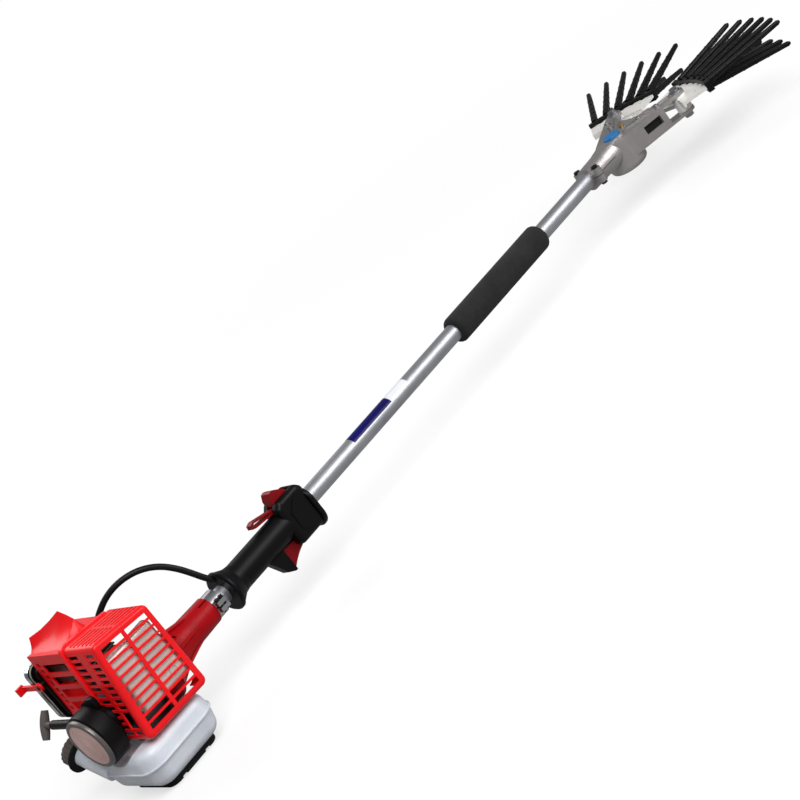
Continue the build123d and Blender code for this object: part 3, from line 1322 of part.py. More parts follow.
def head_hollow():
    """Everything bored out of the casing: tube seat, bearing seat, gear room."""
    body = rod(HEAD_X - 1, TUBE_FRONT, TUBE_R + SLIP)
    body += rod(TUBE_FRONT - 1, PINION_X - 2, HEAD_BEARING_R + SLIP)
    body += rod(PINION_X - 3, GEAR_X, PINION_R + TOOTH_OUT + 1.2)
    body += post(GEAR_X, 0, YOKE_LOW - 1, CASE_INSIDE_TOP, GEAR_CAVITY_R)
    body += post(GEAR_X, 0, CASE_INSIDE_TOP - 1, GEAR_CASE_TOP + 1, JOURNAL_R + RUN)
    room = plan_prism(deck_outline(CASE_WALL), DECK_LOW_TOP, DECK_UNDER)
    body += room & block(GEAR_X, PIVOT_X + 80, -200, 200, DECK_LOW_TOP, DECK_UNDER)
    body += block(HEAD_X - 5, TUBE_FRONT + 6, -60, 60, -SPLIT_GAP / 2, SPLIT_GAP / 2)
    for side in (-1, 1):
        x, y = clamp_bolt_place(side)
        body += post(x, y, -EAR_HEIGHT - 9, EAR_HEIGHT + 9, CLAMP_BOLT_R + SLIP)
        body += post(PIVOT_X, side * PIVOT_Y, DECK_LOW - 9, DECK_TOP + 9, PIVOT_R + SLIP)
    for x, y in head_screw_places():
        body += post(x, y, DECK_TOP - 8, DECK_TOP + 9, CLAMP_SCREW_R + SLIP)
    return body


def head_screw_places():
    reach = GEAR_X + GEAR_CASE_R
    places = [(reach - 2, 0.0)]
    for side in (-1, 1):
        places.append((reach + 6, side * 0.45 * PIVOT_Y))
        places.append((PIVOT_X - 38, side * 0.8 * PIVOT_Y))
    return places


def deck_ribs():
    """Stiffening ribs on the upper deck that run from the gears out to the pivots."""
    span = math.atan2(PIVOT_Y, PIVOT_X - GEAR_X)
    length = math.hypot(PIVOT_Y, PIVOT_X - GEAR_X) - BOSS_R
    ribs = []
    for side in (-1, 1):
        for lean in (-RIB_SPREAD, 0.0, RIB_SPREAD):
            rib = block(GEAR_CASE_R * 0.78, length * (1 - abs(lean)), -RIB_WIDTH / 2, RIB_WIDTH / 2,
                        DECK_TOP - 1, DECK_TOP + RIB_HEIGHT)
            ribs.append(Pos(GEAR_X, 0, 0) * Rot(0, 0, side * math.degrees(span + lean)) * rib)
    return ribs


def head_upper_case():
    body = clamp_neck() + post(GEAR_X, 0, 0, GEAR_CASE_TOP - 4, GEAR_CASE_R + GEAR_CASE_STEP)
    body += post(GEAR_X, 0, 0, GEAR_CASE_TOP, CAP_DISC_R + 6)
    body += deck(DECK_UNDER, DECK_TOP)
    body += side_walls(0, DECK_UNDER + 1)
    raised = deck_ribs()
    for x, y in head_screw_places():
        raised.append(post(x, y, DECK_UNDER + 1, DECK_TOP + RIB_HEIGHT, SCREW_BOSS_R))
    body += raised
    for side in (-1, 1):
        body += post(PIVOT_X, side * PIVOT_Y, DECK_UNDER, DECK_TOP + 1, BOSS_R - 2)
    body -= front_hollow(DECK_TOP, DECK_TOP + 20)
    for x, y in head_screw_places():
        body -= post(x, y, DECK_TOP + 0.5, DECK_TOP + RIB_HEIGHT + 1, CLAMP_HEAD_R)
    body -= block(HEAD_X - 20, PIVOT_X + 60, -200, 200, -90, 0)
    return body - head_hollow()


def head_lower_case():
    body = clamp_neck() + deck(DECK_LOW, DECK_LOW_TOP) + side_walls(DECK_LOW_TOP - 1, 0)
    bowl = post(GEAR_X, 0, GEAR_CASE_LOW, 0, GEAR_CASE_R + GEAR_CASE_STEP)
    body += fillet(bowl.faces().sort_by(Axis.Z)[0].edges(), 9)
    for side in (-1, 1):
        body += post(PIVOT_X, side * PIVOT_Y, DECK_LOW - 1, DECK_LOW_TOP, BOSS_R - 2)
    body -= block(HEAD_X - 20, PIVOT_X + 60, -200, 200, 0, 90)
    body -= head_hollow()
    guide_from = GEAR_X + GEAR_CAVITY_R + 4
    guide_to = PIVOT_X - 46
    edge = YOKE_BAR / 2 + GAP
    body += block(guide_from, guide_to, -edge - 4, edge + 4, DECK_LOW_TOP - 1, YOKE_LOW - 0.3)
    for side in (-1, 1):
        y0, y1 = sorted((side * edge, side * (edge + 4)))
        body += block(guide_from, guide_to, y0, y1, DECK_LOW_TOP - 1, YOKE_TOP)
    return body


def gear_cap():
    body = post(GEAR_X, 0, GEAR_CASE_TOP, GEAR_CASE_TOP + CAP_DISC_THICK, CAP_DISC_R)
    return fillet(body.faces().sort_by(Axis.Z)[-1].edges(), CAP_DISC_THICK / 2)


def pivot_bolts():
    parts = []
    for side in (-1, 1):
        y = side * PIVOT_Y
        bolt = post(PIVOT_X, y, DECK_LOW - 1, DECK_TOP + 1, PIVOT_R)
        bolt += post(PIVOT_X, y, DECK_TOP + 1, DECK_TOP + 3, 10)
        bolt += Pos(PIVOT_X, y, DECK_TOP + 3) * extrude(RegularPolygon(7, 6), 5)
        bolt += Pos(PIVOT_X, y, DECK_LOW - 8) * extrude(RegularPolygon(8, 6), 7)
        parts.append(bolt)
    return Compound(parts)


def clamp_bolts():
    parts = []
    for side in (-1, 1):
        x, y = clamp_bolt_place(side)
        bolt = post(x, y, -EAR_HEIGHT, EAR_HEIGHT, CLAMP_BOLT_R)
        bolt += post(x, y, EAR_HEIGHT, EAR_HEIGHT + 4, CLAMP_BOLT_R + 2.5)
        bolt -= Pos(x, y, EAR_HEIGHT + 1) * extrude(RegularPolygon(2.8, 6), 4)
        bolt += Pos(x, y, -EAR_HEIGHT - 4) * extrude(RegularPolygon(CLAMP_BOLT_R + 2.5, 6), 4)
        parts.append(bolt)
    return Compound(parts)


def head_screws():
    parts = []
    for x, y in head_screw_places():
        screw = post(x, y, DECK_TOP - 5, DECK_TOP + 0.5, CLAMP_SCREW_R)
        parts.append(screw + post(x, y, DECK_TOP + 0.5, DECK_TOP + 4, CLAMP_HEAD_R - 0.3))
    return Compound(parts)


# Hands and fingers


def fan_point(r, azimuth):
    """Point of the finger fan in plan."""
    a = math.radians(azimuth)
    return (FAN_CENTRE + r * math.cos(a), r * math.sin(a))


def fan_sector(r0, r1, a0, a1):
    """Curved band of the fan between two radii and two azimuths."""
    mid = (a0 + a1) / 2
    edges = [
        Line(fan_point(r0, a0), fan_point(r1, a0)),
        ThreePointArc(fan_point(r1, a0), fan_point(r1, mid), fan_point(r1, a1)),
        Line(fan_point(r1, a1), fan_point(r0, a1)),
        ThreePointArc(fan_point(r0, a1), fan_point(r0, mid), fan_point(r0, a0)),
    ]
    return make_face(edges)


def upper_azimuths():
    return [UPPER_FIRST + i * FINGER_STEP for i in range(UPPER_FINGERS)]


def lower_azimuths():
    return [LOWER_FIRST + i * FINGER_STEP for i in range(LOWER_FINGERS)]


def hand_plate():
    """Left hand: fan plate, hub on the pivot and forked drive arm, one casting."""
    plate = plan_prism(fan_sector(FAN_ROOT, FAN_R, FAN_FROM, FAN_TO), PLATE_LOW, PLATE_TOP)
    for azimuth in lower_azimuths():
        x, y = fan_point(FAN_R + 1, azimuth)
        plate -= post(x, y, PLATE_LOW - 1, PLATE_TOP + 1, SCALLOP_R)
    for azimuth in (UPPER_FIRST + FINGER_STEP / 2, FAN_TO - 5):
        x, y = fan_point(FAN_R - 18, azimuth)
        plate -= post(x, y, PLATE_LOW - 1, PLATE_TOP + 1, 4)
    plate += plan_prism(fan_sector(FAN_ROOT, FAN_ROOT + 4, FAN_FROM, FAN_TO), PLATE_LOW - 4, PLATE_TOP)
    body = plate + post(PIVOT_X, PIVOT_Y, DECK_LOW_TOP + 0.3, DECK_UNDER - 0.3, BOSS_R - 1)
    half = ARM_WIDTH / 2
    end = YOKE_PIN_Y - YOKE_PIN_R - 4
    arm = make_face(Polyline((PIVOT_X - half, end), (PIVOT_X + half, end), (PIVOT_X + half - 3, PIVOT_Y),
                             (PIVOT_X - half + 3, PIVOT_Y), close=True))
    body += plan_prism(arm, ARM_LOW, ARM_TOP)
    body += block(PIVOT_X - 4, PIVOT_X + 4, PIVOT_Y - 34, PIVOT_Y, ARM_TOP - 1, PLATE_LOW + 1)
    fork = YOKE_PIN_R + GAP
    body -= block(PIVOT_X - fork, PIVOT_X + fork, end - 1, YOKE_PIN_Y + YOKE_PIN_R + 3, ARM_LOW - 1,
                  ARM_TOP + 1)
    return body - post(PIVOT_X, PIVOT_Y, DECK_LOW_TOP, DECK_UNDER, PIVOT_R + RUN)


def finger_rail():
    """Black bar on the edge of the left hand that holds the finger roots."""
    r0 = FAN_R + SLIP
    r1 = FAN_R + RAIL_DEPTH
    body = plan_prism(fan_sector(r0, r1, FAN_FROM, FAN_TO), RAIL_LOW, RAIL_TOP)
    room = math.degrees((FINGER_WIDTH / 2 + 1) / r1)
    for azimuth in lower_azimuths():
        gap = fan_sector(r0 + 3, r1 - 2.5, azimuth - FINGER_STEP / 2 + room, azimuth + FINGER_STEP / 2 - room)
        body -= plan_prism(gap, PLATE_TOP - 2, RAIL_TOP + 1)
    return body


def finger():
    """Tapered nylon finger along X with a blunt tip."""
    root = Plane.YZ * RectangleRounded(FINGER_WIDTH, FINGER_HEIGHT, 3)
    neck = Plane.YZ.offset(FINGER_LENGTH - 4) * RectangleRounded(FINGER_TIP, FINGER_TIP, 3)
    tip = Plane.YZ.offset(FINGER_LENGTH) * RectangleRounded(FINGER_TIP - 4, FINGER_TIP - 4, 1.5)
    return loft([root, neck, tip], ruled=True)


def finger_row(azimuths, z, tilt):
    """Fingers of one row of the left hand."""
    one = finger()
    parts = []
    for azimuth in azimuths:
        place = Pos(FAN_CENTRE, 0, z) * Rot(0, 0, azimuth) * Pos(FAN_R + RAIL_DEPTH + 0.1, 0, 0)
        parts.append(place * finger_tilt(tilt) * one)
    return Compound(parts)


def finger_tilt(tilt):
    """Turn a finger about its root and shift it out so that it clears the rail."""
    return Pos(abs(math.sin(math.radians(tilt))) * FINGER_HEIGHT / 2, 0, 0) * Rot(0, -tilt, 0)


def upper_fingers():
    return finger_row(upper_azimuths(), RAIL_TOP - FINGER_HEIGHT / 2 + 2, UPPER_TILT)


def lower_fingers():
    return finger_row(lower_azimuths(), RAIL_LOW + FINGER_HEIGHT / 2 - 2, LOWER_TILT)


# Small engine fasteners


def engine_screws():
    """Socket screws that hold the clutch case to the crankcase."""
    parts = []
    for turn in range(4):
        spin = Rot(45 + turn * 90, 0, 0)
        r = (FAN_CASE_R + CRANKCASE_R) / 2
        head = (FAN_CASE_R - CRANKCASE_R) / 2 - GAP
        screw = rod(CASE_REAR - FLANGE_THICK - 3, CASE_REAR - FLANGE_THICK, head, 0, r)
        parts.append(spin * screw)
    return Compound(parts)


def main():
    os.makedirs("parts", exist_ok=True)
    single = [
        crankcase, crankshaft, flywheel, clutch_shoes, cylinder, spark_plug, muffler,
        muffler_cover, cylinder_cover, plug_hood, carburettor, primer_bulb, air_cleaner_case,
        air_cleaner_cover, choke_lever, starter_case, starter_pulley, starter_plaque, starter_rope,
        starter_handle, fuel_tank, fuel_cap, fuel_cap_seal, tank_foot, clutch_drum, drum_bearing,
        clutch_case, tube_clamp, clamp_screws, drive_tube, drive_shaft, shaft_bushes, foam_grip,
        handle_screws, throttle_trigger, lockout_lever, stop_switch, throttle_cable, bevel_pinion,
        head_bearing, crown_gear, yoke, head_upper_case, head_lower_case, gear_cap, pivot_bolts,
        clamp_bolts, head_screws, engine_screws,
    ]
    for make in single:
        save(make.__name__, make())
    save("handle_left_half", handle_half(1))
    save("handle_right_half", handle_half(-1))
    for make in (hand_plate, finger_rail, upper_fingers, lower_fingers):
        left = make()
        save("left_" + make.__name__, left)
        save("right_" + make.__name__, mirrored(left))


main()
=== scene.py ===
import json
import logging
import math
from dataclasses import dataclass
from enum import Enum
from typing import Any

import bmesh
import bpy
from mathutils import Matrix, Vector

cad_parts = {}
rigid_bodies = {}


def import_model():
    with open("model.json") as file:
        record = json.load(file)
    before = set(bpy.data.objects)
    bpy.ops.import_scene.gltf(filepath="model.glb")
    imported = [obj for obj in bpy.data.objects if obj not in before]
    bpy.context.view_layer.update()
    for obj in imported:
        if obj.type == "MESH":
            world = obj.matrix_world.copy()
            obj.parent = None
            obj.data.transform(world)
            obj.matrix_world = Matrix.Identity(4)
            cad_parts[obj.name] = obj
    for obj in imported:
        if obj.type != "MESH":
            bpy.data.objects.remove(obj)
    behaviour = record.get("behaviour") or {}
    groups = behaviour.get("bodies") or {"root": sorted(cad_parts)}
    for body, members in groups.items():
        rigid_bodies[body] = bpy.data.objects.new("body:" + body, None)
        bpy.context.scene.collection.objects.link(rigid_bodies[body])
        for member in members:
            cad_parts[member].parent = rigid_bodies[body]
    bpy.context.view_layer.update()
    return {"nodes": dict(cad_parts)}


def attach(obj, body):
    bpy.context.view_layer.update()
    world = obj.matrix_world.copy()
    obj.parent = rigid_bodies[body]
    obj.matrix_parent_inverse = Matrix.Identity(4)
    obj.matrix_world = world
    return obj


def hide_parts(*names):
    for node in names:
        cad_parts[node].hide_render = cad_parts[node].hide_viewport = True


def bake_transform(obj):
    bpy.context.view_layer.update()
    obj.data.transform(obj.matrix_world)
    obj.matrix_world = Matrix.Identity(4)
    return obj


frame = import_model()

MM = 0.001
AXIS_HEIGHT = 0.110
IMAGE_SIDE = 800
CREASE_DEGREES = 35.0

# Places of the colour sockets on a Mix node
MIX_FIRST, MIX_SECOND, MIX_RESULT = 6, 7, 2
# Noise settings of the patterns; patches are counted per metre
PATCHES_PER_METRE = 14.0
PATCH_DETAIL = 3.0
PATCH_ROUGHNESS = 0.6
RING_DETAIL = 4.0
RING_ROUGHNESS = 0.7
CELL_SMOOTHNESS = 0.4
YARN_DISTORTION = 0.6
CAST_DETAIL = 6.0
PLAIN_DETAIL = 2.0
PLAIN_ROUGHNESS = 0.55
# How far the patterns reach into colour and shine, and how light passes through skins
FINE_SHARE = 0.5
SHADE_RANGE = (0.45, 1.0)
SHINE_RANGE = (0.4, 1.0)
COAT_ROUGHNESS = 0.12
SCATTER_RADIUS = (0.01, 0.01, 0.01)
SCATTER_SCALE = 0.6

log = logging.getLogger("harvester")


class Grain(Enum):
    """How a surface was made, which sets its pattern."""

    MOULDED = "moulded"
    CAST = "cast"
    BRUSHED = "brushed"
    RINGS = "rings"
    FOAM = "foam"
    YARN = "yarn"


class Side(Enum):
    """Which of the two hands a piece belongs to."""

    LEFT = "left"
    RIGHT = "right"


def linear(code: str) -> tuple[float, float, float, float]:
    """Turn an sRGB hex value into a linear colour.

    Args:
        code: Six hex digits after a hash sign.

    Returns:
        Red, green, blue and alpha for a colour socket.
    """
    values = [int(code[i:i + 2], 16) / 255 for i in (1, 3, 5)]
    low = [v / 12.92 if v <= 0.04045 else ((v + 0.055) / 1.055) ** 2.4 for v in values]
    return (low[0], low[1], low[2], 1.0)


WHITE = linear("#FFFFFF")


def add_node(tree: Any, kind: str, settings: dict[str, Any], inputs: dict[Any, Any]) -> Any:
    """Add one node with its settings and its inputs.

    Args:
        tree: Node tree that takes the node.
        kind: Blender's name of the node's class.
        settings: Attributes to set on the node.
        inputs: Socket names or places with a value, or with an output to link.

    Returns:
        The new node.
    """
    node = tree.nodes.new(kind)
    for name, value in settings.items():
        setattr(node, name, value)
    for key, value in inputs.items():
        if isinstance(value, bpy.types.NodeSocket):
            tree.links.new(value, node.inputs[key])
        else:
            node.inputs[key].default_value = value
    return node


@dataclass(frozen=True)
class Finish:
    """One finish: a real material, its colours and the marks of its making."""

    name: str
    colour: str
    shade: str
    roughness: float
    grain: Grain
    grain_mm: float
    bump_mm: float
    spread: float = 0.08
    metallic: float = 0.0
    ior: float = 1.5
    specular: float = 0.5
    coat: float = 0.0
    sheen: float = 0.0
    subsurface: float = 0.0
    stretch: tuple[float, float, float] = (1.0, 1.0, 1.0)
    centre: tuple[float, float, float] = (0.0, 0.0, 0.0)

    def pattern(self, tree: Any) -> tuple[Any, Any]:
        """Build the finish's pattern.

        Args:
            tree: The material's node tree.

        Returns:
            A fine value for bump and roughness, and a broad value for colour.
        """
        coords = add_node(tree, "ShaderNodeTexCoord", {}, {}).outputs["Object"]
        centred = add_node(tree, "ShaderNodeMapping", {"vector_type": "TEXTURE"},
                           {"Vector": coords, "Location": self.centre}).outputs[0]
        stretched = add_node(tree, "ShaderNodeMapping", {}, {"Vector": centred, "Scale": self.stretch}).outputs[0]
        per_metre = 1.0 / (self.grain_mm * MM)
        broad = add_node(tree, "ShaderNodeTexNoise", {},
                         {"Vector": coords, "Scale": PATCHES_PER_METRE, "Detail": PATCH_DETAIL,
                          "Roughness": PATCH_ROUGHNESS}).outputs["Fac"]
        if self.grain is Grain.RINGS:
            radius = add_node(tree, "ShaderNodeVectorMath", {"operation": "LENGTH"}, {0: stretched}).outputs["Value"]
            fine = add_node(tree, "ShaderNodeTexNoise", {"noise_dimensions": "1D"},
                            {"W": radius, "Scale": per_metre, "Detail": RING_DETAIL,
                             "Roughness": RING_ROUGHNESS}).outputs["Fac"]
        elif self.grain is Grain.FOAM:
            fine = add_node(tree, "ShaderNodeTexVoronoi", {"feature": "SMOOTH_F1"},
                            {"Vector": stretched, "Scale": per_metre,
                             "Smoothness": CELL_SMOOTHNESS}).outputs["Distance"]
        elif self.grain is Grain.YARN:
            fine = add_node(tree, "ShaderNodeTexWave", {"bands_direction": "DIAGONAL"},
                            {"Vector": stretched, "Scale": per_metre / 2,
                             "Distortion": YARN_DISTORTION}).outputs["Fac"]
        else:
            detail = CAST_DETAIL if self.grain is Grain.CAST else PLAIN_DETAIL
            fine = add_node(tree, "ShaderNodeTexNoise", {},
                            {"Vector": stretched, "Scale": per_metre, "Detail": detail,
                             "Roughness": PLAIN_ROUGHNESS}).outputs["Fac"]
        return fine, broad

    def material(self) -> Any:
        """Build the finish as a node material, once.

        Returns:
            The material, named for the finish.
        """
        made = bpy.data.materials.get(self.name)
        if made:
            return made
        made = bpy.data.materials.new(self.name)
        made.use_nodes = True
        tree = made.node_tree
        tree.nodes.clear()
        fine, broad = self.pattern(tree)
        both = add_node(tree, "ShaderNodeMath", {"operation": "MULTIPLY_ADD"},
                        {0: fine, 1: FINE_SHARE, 2: broad}).outputs[0]
        amount = add_node(tree, "ShaderNodeMapRange", {},
                          {"Value": both, "From Min": SHADE_RANGE[0], "From Max": SHADE_RANGE[1]}).outputs[0]
        colour = add_node(tree, "ShaderNodeMix", {"data_type": "RGBA"},
                          {0: amount, MIX_FIRST: linear(self.colour),
                           MIX_SECOND: linear(self.shade)}).outputs[MIX_RESULT]
        rough = add_node(tree, "ShaderNodeMapRange", {},
                         {"Value": both, "From Min": SHINE_RANGE[0], "From Max": SHINE_RANGE[1],
                          "To Min": self.roughness - self.spread / 2,
                          "To Max": self.roughness + self.spread / 2}).outputs[0]
        bump = add_node(tree, "ShaderNodeBump", {}, {"Height": fine, "Strength": 1.0,
                                                     "Distance": self.bump_mm * MM}).outputs[0]
        shader = add_node(tree, "ShaderNodeBsdfPrincipled", {},
                          {"Base Color": colour, "Roughness": rough, "Normal": bump, "Metallic": self.metallic,
                           "IOR": self.ior, "Specular IOR Level": self.specular,
                           "Coat Weight": self.coat, "Coat Roughness": COAT_ROUGHNESS,
                           "Sheen Weight": self.sheen, "Subsurface Weight": self.subsurface,
                           "Subsurface Radius": SCATTER_RADIUS, "Subsurface Scale": SCATTER_SCALE})
        add_node(tree, "ShaderNodeOutputMaterial", {}, {"Surface": shader.outputs[0]})
        return made

    def dress(self, *nodes: str) -> None:
        """Put the finish on CAD nodes.

        Args:
            nodes: Names of the CAD nodes.
        """
        for name in nodes:
            mesh = frame["nodes"][name].data
            mesh.materials.clear()
            mesh.materials.append(self.material())
            log.info("dressed %s in %s", name, self.name)


# Glossy moulded plastic: an even bright colour with a soft, slightly wavy shine
COVER_ABS = Finish("moulded_red_abs", "#F2121A", "#DC0D15", 0.34, Grain.MOULDED, 1.2, 0.015, specular=0.3)
# The same plastic in a deeper shade of red, handled and a little duller; the darker red is partly the levers' own
# colour and partly painted shade on the stop switch
LEVER_ABS = Finish("moulded_dark_red_abs", "#8A050C", "#640409", 0.4, Grain.MOULDED, 1.0, 0.02, specular=0.16)
# Paint over a casting: the casting's pebbles show through the colour
CLUTCH_PAINT = Finish("painted_clutch_casting", "#A8030D", "#86020A", 0.36, Grain.CAST, 2.2, 0.06, specular=0.14)
# Glass-filled nylon from a spark-eroded mould: fine matte grain
CASE_NYLON = Finish("spark_grain_black_nylon", "#08080A", "#040405", 0.38, Grain.MOULDED, 0.6, 0.03, specular=0.16)
CAP_NYLON = Finish("moulded_charcoal_nylon", "#655E5C", "#4E4846", 0.5, Grain.MOULDED, 0.7, 0.03, specular=0.2)
# Satin paint on the ring that holds the plaque
BEZEL_GREY = Finish("satin_grey_bezel", "#6B6663", "#544F4D", 0.3, Grain.MOULDED, 0.8, 0.01, metallic=0.3)
# Smooth moulded nylon of the fingers: long soft highlights
FINGER_NYLON = Finish("smooth_black_nylon", "#080809", "#040405", 0.34, Grain.MOULDED, 1.6, 0.02, specular=0.2)
# Blow-moulded polythene: milky, light passes a little way in
TANK_POLYTHENE = Finish("milky_blown_polythene", "#DDE0E7", "#C8CED8", 0.34, Grain.MOULDED, 3.0, 0.02,
                        ior=1.51, subsurface=0.4)
# Moulded rubber: dull and dark, with a powdery bloom
FOOT_RUBBER = Finish("moulded_black_rubber", "#101010", "#181818", 0.7, Grain.MOULDED, 0.8, 0.03, specular=0.15)
# Closed-cell foam: skinned cells, drawn coarse enough to show in the picture
GRIP_FOAM = Finish("closed_cell_black_foam", "#2C2C2D", "#1D1D1E", 0.85, Grain.FOAM, 1.6, 0.12, specular=0.12,
                   sheen=0.05)
# Turned steel: bright with fine lathe lines
TURNED_STEEL = Finish("turned_steel", "#B9BABD", "#98999D", 0.3, Grain.BRUSHED, 0.8, 0.01, metallic=1.0,
                      stretch=(1.0, 0.08, 0.08))
# Chromed trim: rolled smooth, with faint polishing marks
TRIM_CHROME = Finish("polished_chrome_trim", "#D8D9DC", "#B4B6BA", 0.16, Grain.BRUSHED, 1.2, 0.006, metallic=1.0)
# Zinc-plated screws: a cool grey with small dull patches
SCREW_ZINC = Finish("zinc_plated_steel", "#A9ABAF", "#86888D", 0.36, Grain.CAST, 1.0, 0.02, metallic=1.0)
# Blacked socket screws: a thin oxide over steel
SCREW_OXIDE = Finish("black_oxide_steel", "#2A2B2E", "#1C1D20", 0.4, Grain.CAST, 1.0, 0.02, metallic=0.8)
SCREW_BRASS = Finish("plain_turned_brass", "#B8934A", "#977534", 0.32, Grain.CAST, 1.2, 0.015, metallic=1.0)
# Sand-cast and die-cast aluminium left as it came from the mould
ENGINE_CAST = Finish("cast_engine_aluminium", "#8E8E8C", "#747472", 0.5, Grain.CAST, 1.5, 0.08, metallic=1.0)
HEAD_CAST = Finish("die_cast_head_grey", "#BAB6B5", "#979392", 0.4, Grain.CAST, 1.8, 0.05, metallic=0.85)
# Drawn and anodised tube: straight drawing lines along its length
TUBE_ANODISED = Finish("drawn_anodised_tube", "#C0C1C5", "#A0A2A7", 0.43, Grain.BRUSHED, 0.9, 0.012, metallic=0.95,
                       stretch=(0.02, 1.0, 1.0))
# Pressed sheet for the hands: bright, nearly white, rolled along its length
HAND_SHEET = Finish("bright_rolled_sheet", "#F0EEEA", "#DAD8D3", 0.32, Grain.BRUSHED, 0.9, 0.012, metallic=0.2,
                    stretch=(1.0, 0.04, 1.0))
# Plaque turned on a lathe: light and dark colour rings round its centre, partly lathe grain and partly painted sheen
# for the light the rings catch
PLAQUE_RINGS = Finish("ring_brushed_bronze", "#F6CEC8", "#B8918A", 0.36, Grain.RINGS, 1.8, 0.03, spread=0.2,
                      metallic=0.2, stretch=(0.0, 1.0, 1.0), centre=(0.0, 0.0, AXIS_HEIGHT))
# Pressed muffler steel, heat-dulled
MUFFLER_STEEL = Finish("pressed_muffler_steel", "#E2DFD9", "#BDB8B0", 0.36, Grain.CAST, 2.5, 0.03, metallic=0.4)
# Moulded cap in a strong, slightly shiny blue
CAP_BLUE = Finish("moulded_blue_cap", "#146EAA", "#0F598E", 0.34, Grain.MOULDED, 1.0, 0.02, specular=0.3)
# Smooth sheath over the cable, and the yarn of the rope
CABLE_PVC = Finish("black_cable_sheath", "#0B0B0C", "#121214", 0.4, Grain.MOULDED, 1.2, 0.02, specular=0.18)
ROPE_YARN = Finish("twisted_rope_yarn", "#26262A", "#3A3A3E", 0.8, Grain.YARN, 1.2, 0.15, sheen=0.2)
# Pressed felt of the cleaner's joint
JOINT_FELT = Finish("pressed_grey_felt", "#A7A49A", "#8C897F", 0.85, Grain.FOAM, 0.9, 0.06, specular=0.2)
# Printed film wrapped round the tube
BAND_NAVY = Finish("navy_printed_film", "#0B0760", "#08054A", 0.3, Grain.MOULDED, 1.4, 0.004, specular=0.25)
BAND_WHITE = Finish("white_printed_film", "#E4E5EA", "#D4D6DD", 0.3, Grain.MOULDED, 1.4, 0.004, coat=0.2)


